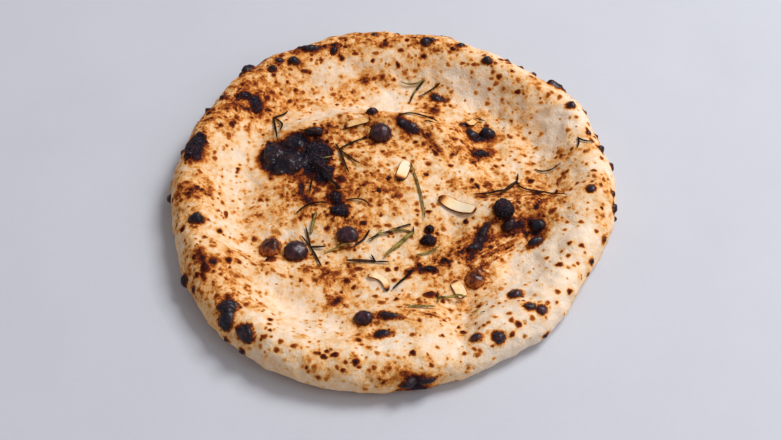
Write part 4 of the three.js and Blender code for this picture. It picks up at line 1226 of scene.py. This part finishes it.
class Field:
    """A socket that varies over a surface. Arithmetic on it adds Math nodes."""

    def __init__(self, graph, socket):
        self.graph = graph
        self.socket = socket

    def math(self, operation, *terms):
        """What a Math node makes of the terms."""
        settings = {"operation": operation}
        return self.graph.node("ShaderNodeMath", settings, dict(enumerate(terms)))

    def __add__(self, other):
        return self.math("ADD", self, other)

    def __radd__(self, other):
        return self.math("ADD", other, self)

    def __sub__(self, other):
        return self.math("SUBTRACT", self, other)

    def __rsub__(self, other):
        return self.math("SUBTRACT", other, self)

    def __mul__(self, other):
        return self.math("MULTIPLY", self, other)

    def __rmul__(self, other):
        return self.math("MULTIPLY", other, self)

    def __truediv__(self, other):
        return self.math("DIVIDE", self, other)

    def __rtruediv__(self, other):
        return self.math("DIVIDE", other, self)

    def __abs__(self):
        return self.math("ABSOLUTE", self)

    def at_least(self, other):
        """The greater of the two."""
        return self.math("MAXIMUM", self, other)

    def at_most(self, other):
        """The lesser of the two."""
        return self.math("MINIMUM", self, other)

    def step(self, low, high):
        """0 below low, 1 above high, and smooth in between; falls where low is above high."""
        kind = {"interpolation_type": "SMOOTHSTEP"}
        return self.graph.node("ShaderNodeMapRange", kind, {0: self, 1: low, 2: high})


class Graph:
    """A node tree, built by one method."""

    def __init__(self, tree):
        self.tree = tree
        tree.nodes.clear()

    def node(self, kind, settings=None, inputs=None, output=0):
        """Adds a node with its settings, then its inputs, and gives back one of its outputs."""
        made = self.tree.nodes.new(kind)
        for name, value in (settings or {}).items():
            if name == "stops":
                self.set_stops(made.color_ramp, value)
            else:
                setattr(made, name, value)
        for name, value in (inputs or {}).items():
            if isinstance(value, Field):
                self.tree.links.new(value.socket, made.inputs[name])
            else:
                made.inputs[name].default_value = value
        if not made.outputs:
            return made
        return Field(self, made.outputs[output])

    @staticmethod
    def set_stops(ramp, stops):
        """Gives a colour ramp its positions and colours."""
        while len(ramp.elements) < len(stops):
            ramp.elements.new(1.0)
        for element, (position, colour) in zip(ramp.elements, stops):
            element.position = position
            element.color = colour

    def mix(self, factor, low, high):
        """A colour between two, by a factor."""
        inputs = {0: factor, 6: low, 7: high}
        return self.node("ShaderNodeMix", {"data_type": "RGBA"}, inputs, output=2)

    def ramp(self, level, stops):
        """A colour from a ramp."""
        return self.node("ShaderNodeValToRGB", {"stops": stops}, {0: level})

    def bump(self, height, distance, strength):
        """The surface's direction over a relief."""
        inputs = {"Strength": strength, "Distance": distance, "Height": height}
        return self.node("ShaderNodeBump", inputs=inputs)

    def dented(self, mesh, depth):
        """A mesh whose points are moved out by a depth, in a Geometry Nodes tree."""
        normal = self.node("GeometryNodeInputNormal")
        shift = self.node("ShaderNodeVectorMath", {"operation": "SCALE"}, {0: normal, 3: depth})
        return self.node("GeometryNodeSetPosition", inputs={0: mesh, 3: shift})

    def named(self, name):
        """A mark on the points, read in a Geometry Nodes tree."""
        kind = {"data_type": "FLOAT"}
        return self.node("GeometryNodeInputNamedAttribute", kind, {0: name})

    def attribute(self, name):
        """A mark on the points, read in a material."""
        return self.node("ShaderNodeAttribute", {"attribute_name": name}, output="Fac")

    def place(self):
        """The place on the piece, in metres."""
        return self.node("ShaderNodeTexCoord", output="Object")

    def noise(self, place, size, detail=3.0, roughness=0.55, output="Fac"):
        """Noise whose bumps are size millimetres apart."""
        values = {"Vector": place, "Scale": 1000 / size, "Detail": detail, "Roughness": roughness}
        return self.node("ShaderNodeTexNoise", inputs=values, output=output)

    def cells(self, place, size, output="Distance"):
        """Cells about size millimetres wide, each with its own middle."""
        values = {"Vector": place, "Scale": 1000 / size}
        return self.node("ShaderNodeTexVoronoi", inputs=values, output=output)


def new_material(name):
    """A material, and the graph of its nodes."""
    material = bpy.data.materials.new(name)
    material.use_nodes = True
    return material, Graph(material.node_tree)


def finish_material(graph, colour, roughness, normal=None, constants=None):
    """Adds the shader and the output."""
    inputs = {"Base Color": colour, "Roughness": roughness, **(constants or {})}
    if normal is not None:
        inputs["Normal"] = normal
    shader = graph.node("ShaderNodeBsdfPrincipled", inputs=inputs)
    graph.node("ShaderNodeOutputMaterial", inputs={"Surface": shader})


def freckles(graph, place, size, largest, share):
    """Round freckles, one to a cell at most: their dark middles, the glow round them, their tone."""
    away = graph.cells(place, size)
    tint = graph.cells(place, size, "Color")
    chance, other, third = (
        graph.node("ShaderNodeSeparateColor", inputs={0: tint}, output=k) for k in range(3)
    )
    ratio = away / ((0.5 + 0.5 * other) * largest)
    there = (share - chance).step(0.0, 0.08)
    return ratio.step(1.4, 0.25) * there, ratio.step(2.4, 0.8) * there, third


class Crust:
    """The crust's bake, colours and relief, worked out from noise and from the marks on its mesh."""

    MARKS = (
        "toast", "raised", "streaked", "flank", "burnt", "char", "spot", "spot_tone",
        "black", "plum", "amber", "crumbly",
    )

    def __init__(self, graph):
        self.graph = graph
        self.place = graph.place()
        for mark in self.MARKS:
            setattr(self, mark, graph.attribute(mark))
        wander = graph.noise(self.place, BLOTCH, 3, 0.6, "Color")
        shift = graph.node(
            "ShaderNodeVectorMath", {"operation": "MULTIPLY_ADD"},
            {0: wander, 1: (WANDER,) * 3, 2: (-WANDER / 2,) * 3},
        )
        moved = {0: self.place, 1: shift}
        self.bent = graph.node("ShaderNodeVectorMath", {"operation": "ADD"}, moved)
        self.patchy = graph.noise(self.place, PATCH)
        self.fine = graph.noise(self.place, FINE, 3, 0.6)
        self.marble = graph.noise(self.bent, MARBLE, 2.5, 0.5)
        self.skin = graph.noise(self.place, BLOTCH, 3)
        self.calm = 1.0 - 0.65 * self.flank
        ragged = (self.patchy - 0.5) * 2.6 + (self.fine - 0.5) * 4.0
        self.spot_edge = self.spot + ragged * 0.35
        self.char_edge = self.char + ragged
        self.burnt_edge = (
            self.burnt + (self.patchy - 0.5) * 8.0 + (self.marble - 0.5) * 6.0 + (self.fine - 0.5) * 4.0
        )
        self.toasted = self.unevenly_toasted()

    def unevenly_toasted(self):
        """The marked toast, less even: 0 pale, 1 golden."""
        broad = self.graph.noise(self.place, BROAD, 2, 0.5)
        uneven = ((broad - 0.5) * 0.8 + (self.patchy - 0.5) * 0.7) * self.calm + self.raised * 0.15
        return (self.toast * 1.03 + uneven + 0.01).at_least(0.0).at_most(1.3)

    def plain(self):
        """Bake of the plain crust, with its mottling, smudges and streaks: 0 raw, 1 burnt."""
        graph, toasted = self.graph, self.toasted
        smudge = graph.noise(self.bent, SMUDGE, 3, 0.6).step(0.48, 0.7) * (0.06 + 0.24 * toasted)
        turned = graph.node(
            "ShaderNodeMapping", {"vector_type": "TEXTURE"},
            {0: self.bent, 2: (0, 0, math.radians(STREAK_TURN)), 3: (STREAK_LENGTH, 1, 1)},
        )
        streaks = graph.noise(turned, FINE, 2, 0.5)
        mottle = (self.marble - 0.5) * (0.35 + 0.95 * toasted) + smudge
        mottle = mottle + (streaks - 0.5) * self.streaked * 1.8
        grain = (self.fine - 0.5) * (0.3 + 0.4 * toasted)
        return 0.035 + 0.43 * toasted + mottle * self.calm + grain

    def freckled(self, bake, size):
        """The bake with freckles of three sizes, and where their middles are sunk."""
        calm, toasted = self.calm, self.toasted
        kinds = (
            (1.5 * size, 0.33, (0.03 + 0.6 * toasted) * calm, 0.7),
            (size, 0.38, (0.1 + 0.65 * toasted) * calm, 0.56),
            (0.64 * size, 0.42, (0.15 + 0.5 * toasted) * calm, 0.4),
        )
        glow = pits = 0.0
        middles = []
        for apart, largest, share, darkness in kinds:
            middle, halo, tone = freckles(self.graph, self.bent, apart, largest, share)
            middles.append((middle, darkness + 0.36 * tone))
            glow = (0.12 * halo).at_least(glow)
        bake = bake + glow
        for middle, level in middles:
            bake = bake + (level - bake).at_least(0.0) * middle
            pits = middle.at_least(pits)
        return bake, pits

    def spotted(self, bake):
        """The bake with the browned spots, and a glow round each."""
        edge, tone = self.spot_edge, self.spot_tone
        depth = edge.at_least(0.0).at_most(1.8)
        level = edge.step(-1.3, 0.4) * (0.46 + 0.3 * tone) + 0.16 * tone * depth
        return (bake + 0.14 * edge.step(-3.4, -0.5) * tone).at_least(level)

    def charred(self, bake):
        """The bake with the burnt blisters and the burnt patches."""
        edge = self.char_edge
        scorch = (0.8 + edge.at_least(0.0) * 0.17 + edge.at_most(0.0) * 0.28).at_least(0.0)
        bake = (bake + 0.12 * edge.step(-4.5, 0.0)).at_least(scorch)
        return bake.at_least(0.68 + self.burnt_edge * 0.13).at_most(1.0)

    def sooty(self, colour):
        """The colour with soot on what is burnt, and painted glints over it."""
        graph = self.graph
        soot = graph.mix(self.patchy.step(0.46, 0.68), BLACK_SOOT, RED_SOOT)
        # Painted glints: pale specks over all the soot, and brighter ones on the crumbly char
        soot_glint_specks = graph.noise(self.place, SOOT_GLINT_SIZE, 4, 0.7).step(0.52, 0.72)
        soot = graph.mix(0.6 * soot_glint_specks, soot, SOOT_GLINT)
        sooty = self.char_edge.step(0.8, 2.6).at_least(self.burnt_edge.step(1.5, 3.5))
        glint = graph.noise(self.place, 1.0, 1).step(0.6, 0.72) * self.crumbly * sooty
        return graph.mix(0.75 * glint, graph.mix(sooty, colour, soot), GLINT)

    def domed(self, colour):
        """The colour with the skins of the amber and the plum domes."""
        graph = self.graph
        ripeness = (0.84 + (self.skin - 0.5) * 1.6 - 0.11 * self.char).at_least(0.0)
        amber = self.amber * self.char.step(0.0, 0.8) * 0.95
        colour = graph.mix(amber, colour, graph.ramp(ripeness, AMBER_COLOURS))
        plum_skin = graph.mix(self.skin.step(0.4, 0.65), DARK_PLUM, LIGHT_PLUM)
        return graph.mix(self.plum * self.char.step(0.2, 1.6) * 0.9, colour, plum_skin)

    def relief(self, pits):
        """Height of what is finer than the mesh, as a share of the relief."""
        grain = self.graph.noise(self.place, GRAIN, 2) * (0.15 + 0.6 * self.crumbly)
        return self.fine * 0.5 + self.marble * 0.6 - 0.3 * pits + grain


def crust_material(settings):
    """Baked dough, from raw to burnt."""
    material, graph = new_material("baked_crust")
    crust = Crust(graph)
    bake, pits = crust.freckled(crust.plain(), settings.freckle_size / MM)
    bake = crust.charred(crust.spotted(bake))
    colour = crust.domed(crust.sooty(graph.ramp(bake, CRUST_COLOURS)))
    dark = bake.step(0.7, 0.95)
    roughness = 0.72 - 0.1 * dark + (crust.fine - 0.5) * 0.15
    bump = graph.bump(crust.relief(pits), settings.relief, 0.7)
    gloss = (crust.black * (0.3 + 0.9 * crust.patchy)).at_least(crust.plum).at_least(crust.amber)
    coat = {"Coat Weight": dark * gloss * settings.sheen, "Coat Roughness": 0.3, "Coat IOR": 1.45}
    finish_material(graph, colour, roughness, bump, {"Specular IOR Level": 0.06, **coat})
    return material


def opaque(colour):
    """A colour with its alpha."""
    return (*colour, 1.0)


def rosemary_material(name, shades, char_from):
    """Leaves of three shades, from the freshest; a high char_from keeps more of them fresh."""
    material, graph = new_material(name)
    fresh, dull, burnt = (opaque(shade) for shade in shades)
    place = graph.place()
    share, across, tone = (graph.attribute(mark) for mark in ("share", "across", "tone"))
    blotch = graph.noise(place, 5, 3, 0.6)
    fibre = graph.noise(place, 0.8, 3, 0.7)
    # The edges are darkened as dried and burnt leaf, and partly as painted shade where they curl under
    rim = abs(across).step(0.2, 0.85)
    leaf = graph.mix(blotch.step(0.35, 0.65), fresh, dull)
    leaf = graph.mix(0.6 * rim + (fibre - 0.5) * 0.9, leaf, dull)
    tips = (share - 0.5) * (share - 0.5) * 2.4
    edges = abs(across).step(0.55, 0.95) * 0.6
    char = (tone * 1.5 + tips + edges + (blotch - 0.5) * 1.8 - char_from).step(0.0, 0.45)
    colour = graph.mix(char, leaf, burnt)
    bump = graph.bump(fibre + blotch * 0.5, 0.3 * MM, 0.5)
    roughness = 0.5 + (fibre - 0.5) * 0.3 + 0.1 * char
    finish_material(graph, colour, roughness, bump, {"Specular IOR Level": 0.08})
    return material


def garlic_material(settings):
    """Pale flesh with browned ends and edges."""
    material, graph = new_material("toasted_garlic")
    place = graph.place()
    brown = graph.attribute("brown")
    blotch = graph.noise(place, 3.2, 4, 0.6)
    fibre = graph.noise(place, 1.0, 3, 0.6)
    level = (brown + (blotch - 0.5) * 0.4 + (fibre - 0.5) * 0.2).at_least(0.0).at_most(1.0)
    colour = graph.ramp(level, ((0.0, opaque(settings.garlic_flesh)), *GARLIC_BROWNS))
    bump = graph.bump(fibre, 0.4 * MM, 0.4)
    roughness = 0.42 + 0.2 * level + (fibre - 0.5) * 0.1
    finish_material(graph, colour, roughness, bump, {"Specular IOR Level": 0.12})
    return material


def crumb_material():
    """Black and brown char."""
    material, graph = new_material("char_crumbs")
    place = graph.place()
    mottle = graph.noise(place, 1.8, 3, 0.6)
    colour = graph.mix(mottle.step(0.4, 0.6), BLACK_CRUMB, BROWN_CRUMB)
    finish_material(graph, colour, 0.4 + (mottle - 0.5) * 0.5, None, {"Specular IOR Level": 0.4})
    return material


def floor_material(colour):
    """A pale, faintly clouded floor."""
    material, graph = new_material("pale_floor")
    place = graph.place()
    cloud = graph.noise(place, 90, 4, 0.6)
    grain = graph.noise(place, 2.5, 3, 0.6)
    deep = opaque(0.9 * share for share in colour)
    light = opaque(1.07 * share for share in colour)
    shade = graph.mix(0.65 * cloud + 0.35 * grain, deep, light)
    finish_material(graph, shade, 0.75 + (grain - 0.5) * 0.1)
    return material


# ---------------------------------------------------------------------------
# Settings
# ---------------------------------------------------------------------------


def length_property(name, description, size, least=0.0):
    """A length, given in millimetres."""
    return FloatProperty(
        name=name, description=description, default=size * MM, min=least * MM, unit="LENGTH"
    )


def share_property(name, description, share):
    """A share, where 1 is the whole."""
    return FloatProperty(name=name, description=description, default=share, subtype="FACTOR")


def colour_property(name, description, shade):
    """A colour, given by its red, green and blue of 0 to 255."""
    return FloatVectorProperty(
        name=name, description=description, default=srgb(*shade)[:3], subtype="COLOR"
    )


class CrustSettings(bpy.types.PropertyGroup):
    """The bread's surface."""

    spacing: length_property(
        "Spacing", "Distance between the points of the crust's mesh", 1.35, 0.9
    )
    undulation: length_property("Undulation", "Height of the broad unevenness of the dough", 1.2)
    ripple: length_property("Ripple", "Height of the small unevenness of the dough", 1.1)
    crinkle: length_property("Crinkle", "Height of the finest unevenness of the crust", 0.2)
    pimples: IntProperty(
        name="Small blisters",
        description="How many small blisters are scattered over the crust",
        default=260,
        min=0,
    )
    freckle_size: length_property("Freckles", "Distance between the middling freckles", 5, 1)
    relief: length_property("Relief", "Height of the relief that is finer than the mesh", 1.5)
    sheen: share_property("Sheen", "How glossy the skins of the dark blisters are", 0.65)


class ToppingSettings(bpy.types.PropertyGroup):
    """Shapes and colours of the rosemary, the garlic and the crumbs of char."""

    leaf_corners: IntProperty(
        name="Leaf corners",
        description="How many corners the section of a leaf has",
        default=14,
        min=8,
    )
    leaf_breadth: share_property(
        "Leaf breadth", "Breadth of a leaf as a share of the breadth its part is given", 0.76
    )
    leaf_thickness: share_property(
        "Leaf thickness", "Thickness of a leaf as a share of its breadth", 0.4
    )
    leaf_arch: share_property(
        "Leaf arch", "How far the edges of a leaf curl down, as a share of half its breadth", 0.45
    )
    leaf_groove: share_property(
        "Leaf groove", "Depth of the groove along a leaf, as a share of half its breadth", 0.25
    )
    leaf_wrinkle: length_property("Leaf wrinkles", "Height of the wrinkles of a leaf", 0.35)
    fresh_leaf: colour_property("Fresh leaf", "The greenest of the leaves", (168, 150, 76))
    dull_leaf: colour_property("Dull leaf", "Dried parts of the green leaves", (104, 84, 36))
    brown_leaf: colour_property("Brown leaf", "The palest of the charred leaves", (88, 46, 22))
    dark_leaf: colour_property("Dark leaf", "Browned ends and edges of leaves", (48, 25, 15))
    black_leaf: colour_property("Black leaf", "The most burnt parts of leaves", (20, 10, 9))
    garlic_flesh: colour_property("Garlic", "Untoasted flesh of the garlic", (255, 236, 204))
    crumbs: FloatProperty(
        name="Crumbs",
        description="Crumbs of char on a square metre of crumbly crust",
        default=3.0e5,
        min=0,
    )
    smallest_crumb: length_property("Smallest crumb", "Radius of the smallest crumbs of char", 0.25)
    largest_crumb: length_property("Largest crumb", "Radius of the largest crumbs of char", 0.6)


class StageSettings(bpy.types.PropertyGroup):
    """The camera, the floor and the light."""

    floor: colour_property("Floor", "Colour of the floor", (202, 205, 215))
    lens: FloatProperty(
        name="Lens",
        description="Focal length of the camera in millimetres",
        default=60.0,
        min=10.0,
    )
    look_down: FloatProperty(
        name="Look down",
        description="How far the camera looks down from the horizontal",
        default=math.radians(51.5),
        subtype="ANGLE",
    )
    distance: FloatProperty(
        name="Distance",
        description="Distance from the camera to the middle of the bread",
        default=0.868,
        unit="LENGTH",
    )
    window_power: FloatProperty(
        name="Window",
        description="Power of the large light behind the bread",
        default=61.0,
        unit="POWER",
    )
    fill_power: FloatProperty(
        name="Fill",
        description="Power of the weak light in front of the bread",
        default=9.0,
        unit="POWER",
    )
    sky_strength: FloatProperty(
        name="Sky",
        description="Strength of the light that comes from all sides",
        default=0.315,
        min=0.0,
    )


class BREAD_OT_crust(bpy.types.Operator):
    """Build the bread with its blisters and its baked crust"""

    bl_idname = "focaccia.crust"
    bl_label = "Bread"

    def execute(self, context):
        settings = context.scene.focaccia_crust
        bread = build_bread(settings)
        bread.data.materials.append(crust_material(settings))
        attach(bread, "root")
        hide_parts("bread")
        return {"FINISHED"}


class BREAD_OT_garlic(bpy.types.Operator):
    """Lay the toasted slices of garlic on the bread"""

    bl_idname = "focaccia.garlic"
    bl_label = "Garlic"

    def execute(self, context):
        ground = Ground()
        ground.add(bpy.data.objects["focaccia_bread"])
        garlic = build_garlic(ground)
        garlic.data.materials.append(garlic_material(context.scene.focaccia_toppings))
        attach(garlic, "root")
        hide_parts(*(node for node, values in GARLIC))
        return {"FINISHED"}


class BREAD_OT_rosemary(bpy.types.Operator):
    """Lay the green and the charred leaves of rosemary"""

    bl_idname = "focaccia.rosemary"
    bl_label = "Rosemary"

    def execute(self, context):
        ground = Ground()
        ground.add(bpy.data.objects["focaccia_bread"])
        ground.add(bpy.data.objects["garlic_slices"])
        settings = context.scene.focaccia_toppings
        section = {
            "Corners": settings.leaf_corners,
            "Thickness": settings.leaf_thickness,
            "Arch": settings.leaf_arch,
            "Groove": settings.leaf_groove,
            "Wrinkle": settings.leaf_wrinkle,
        }
        green_shades = (settings.fresh_leaf, settings.dull_leaf, settings.dark_leaf)
        green = rosemary_material("green_rosemary", green_shades, 0.85)
        charred_shades = (settings.brown_leaf, settings.dark_leaf, settings.black_leaf)
        charred = rosemary_material("charred_rosemary", charred_shades, 0.3)
        sets = (
            ("rosemary_green", GREEN_SPRIGS, GREEN_FLECKS, green),
            ("rosemary_charred", CHARRED_SPRIGS, CHARRED_FLECKS, charred),
        )
        for name, sprigs, flecks, material in sets:
            lines = leaf_lines(name + "_lines", sprigs + flecks, settings.leaf_breadth, ground)
            leaves = grown(name, lines, leaves_tree, section, material)
            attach(leaves, "root")
            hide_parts(*(sprig[0] for sprig in sprigs))
        return {"FINISHED"}


class BREAD_OT_crumbs(bpy.types.Operator):
    """Scatter crumbs of char over the burnt crust"""

    bl_idname = "focaccia.crumbs"
    bl_label = "Crumbs of char"

    def execute(self, context):
        bread = bpy.data.objects["focaccia_bread"]
        source = bread.copy()
        context.scene.collection.objects.link(source)
        settings = context.scene.focaccia_toppings
        values = {
            "Crumbs per area": settings.crumbs,
            "Smallest": settings.smallest_crumb,
            "Largest": settings.largest_crumb,
            "Seed": SEED,
        }
        crumbs = grown("char_crumbs", source, crumbs_tree, values, crumb_material())
        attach(crumbs, "root")
        return {"FINISHED"}


SKY_COLOUR = (1.0, 0.95, 0.94, 1.0)
SENSOR = 36.0
AIM_HEIGHT = 0.010
AIM_PIXEL = (392.6, 196.5)  # where the middle of the bread lies in the photo's frame
FLOOR_HALF = 3000  # half the floor's side, in millimetres
WINDOW_PLACE, WINDOW_SIZE = (1.4, 0.95, 2.2), 1.1  # metres
FILL_PLACE, FILL_SIZE = (1.5, -0.7, 1.5), 1.4


def add_camera(settings):
    """Sets the camera where the photo was taken from."""
    camera = bpy.data.cameras.new("camera")
    camera.lens = settings.lens
    camera.sensor_width = SENSOR
    eye = bpy.data.objects.new("camera", camera)
    bpy.context.scene.collection.objects.link(eye)
    width, height = PHOTO_SIZE
    focal = width * settings.lens / SENSOR
    sin, cos = math.sin(settings.look_down), math.cos(settings.look_down)
    ahead = Vector((0, cos, -sin))
    up = Vector((0, sin, cos))
    side = Vector((1, 0, 0))
    right_shift = (AIM_PIXEL[0] - width / 2) * settings.distance / focal
    up_shift = (height / 2 - AIM_PIXEL[1]) * settings.distance / focal
    aim = Vector((0, 0, AIM_HEIGHT))
    eye.location = aim - ahead * settings.distance - side * right_shift - up * up_shift
    eye.rotation_euler = (QUARTER_TURN - settings.look_down, 0, 0)
    bpy.context.scene.camera = eye


def add_area_light(name, place, size, power):
    """A square light at a place, turned to the middle of the bread."""
    light = bpy.data.lights.new(name, "AREA")
    light.size = size
    light.energy = power
    lamp = bpy.data.objects.new(name, light)
    bpy.context.scene.collection.objects.link(lamp)
    lamp.location = place
    lamp.rotation_euler = (-Vector(place)).to_track_quat("-Z", "Y").to_euler()


class BREAD_OT_stage(bpy.types.Operator):
    """Lay the floor, hang the lights and set up the camera"""

    bl_idname = "focaccia.stage"
    bl_label = "Stage"

    def execute(self, context):
        settings = context.scene.focaccia_stage
        corners = [(FLOOR_HALF * x, FLOOR_HALF * y, 0) for x, y in ((-1, -1), (1, -1), (1, 1), (-1, 1))]
        floor = mesh_object("floor", corners, [(0, 1, 2, 3)])
        floor.data.materials.append(floor_material(settings.floor))
        add_camera(settings)
        add_area_light("window_light", WINDOW_PLACE, WINDOW_SIZE, settings.window_power)
        add_area_light("fill_light", FILL_PLACE, FILL_SIZE, settings.fill_power)
        world = bpy.data.worlds.new("studio")
        world.use_nodes = True
        sky = Graph(world.node_tree)
        inputs = {"Color": SKY_COLOUR, "Strength": settings.sky_strength}
        light = sky.node("ShaderNodeBackground", inputs=inputs)
        sky.node("ShaderNodeOutputWorld", inputs={"Surface": light})
        context.scene.world = world
        context.scene.view_settings.view_transform = "Standard"
        return {"FINISHED"}


class BREAD_PT_panel(bpy.types.Panel):
    """Builds the focaccia piece by piece"""

    bl_label = "Focaccia"
    bl_idname = "BREAD_PT_panel"
    bl_space_type = "VIEW_3D"
    bl_region_type = "UI"
    bl_category = "Focaccia"

    def draw(self, context):
        for group in GROUPS:
            box = self.layout.box()
            settings = getattr(context.scene, group)
            for name in settings.__annotations__:
                box.prop(settings, name)
        for operator in OPERATORS:
            self.layout.operator(operator.bl_idname)


OPERATORS = (BREAD_OT_stage, BREAD_OT_crust, BREAD_OT_garlic, BREAD_OT_rosemary, BREAD_OT_crumbs)
GROUPS = {
    "focaccia_crust": CrustSettings,
    "focaccia_toppings": ToppingSettings,
    "focaccia_stage": StageSettings,
}


def register():
    for group in GROUPS.values():
        bpy.utils.register_class(group)
    for operator in OPERATORS:
        bpy.utils.register_class(operator)
    bpy.utils.register_class(BREAD_PT_panel)
    for name, group in GROUPS.items():
        setattr(bpy.types.Scene, name, PointerProperty(type=group))


def unregister():
    for name in GROUPS:
        delattr(bpy.types.Scene, name)
    bpy.utils.unregister_class(BREAD_PT_panel)
    for operator in reversed(OPERATORS):
        bpy.utils.unregister_class(operator)
    for group in GROUPS.values():
        bpy.utils.unregister_class(group)


def main():
    register()
    bpy.ops.focaccia.stage()
    bpy.ops.focaccia.crust()
    bpy.ops.focaccia.garlic()
    bpy.ops.focaccia.rosemary()
    bpy.ops.focaccia.crumbs()


if __name__ == "__main__":
    main()
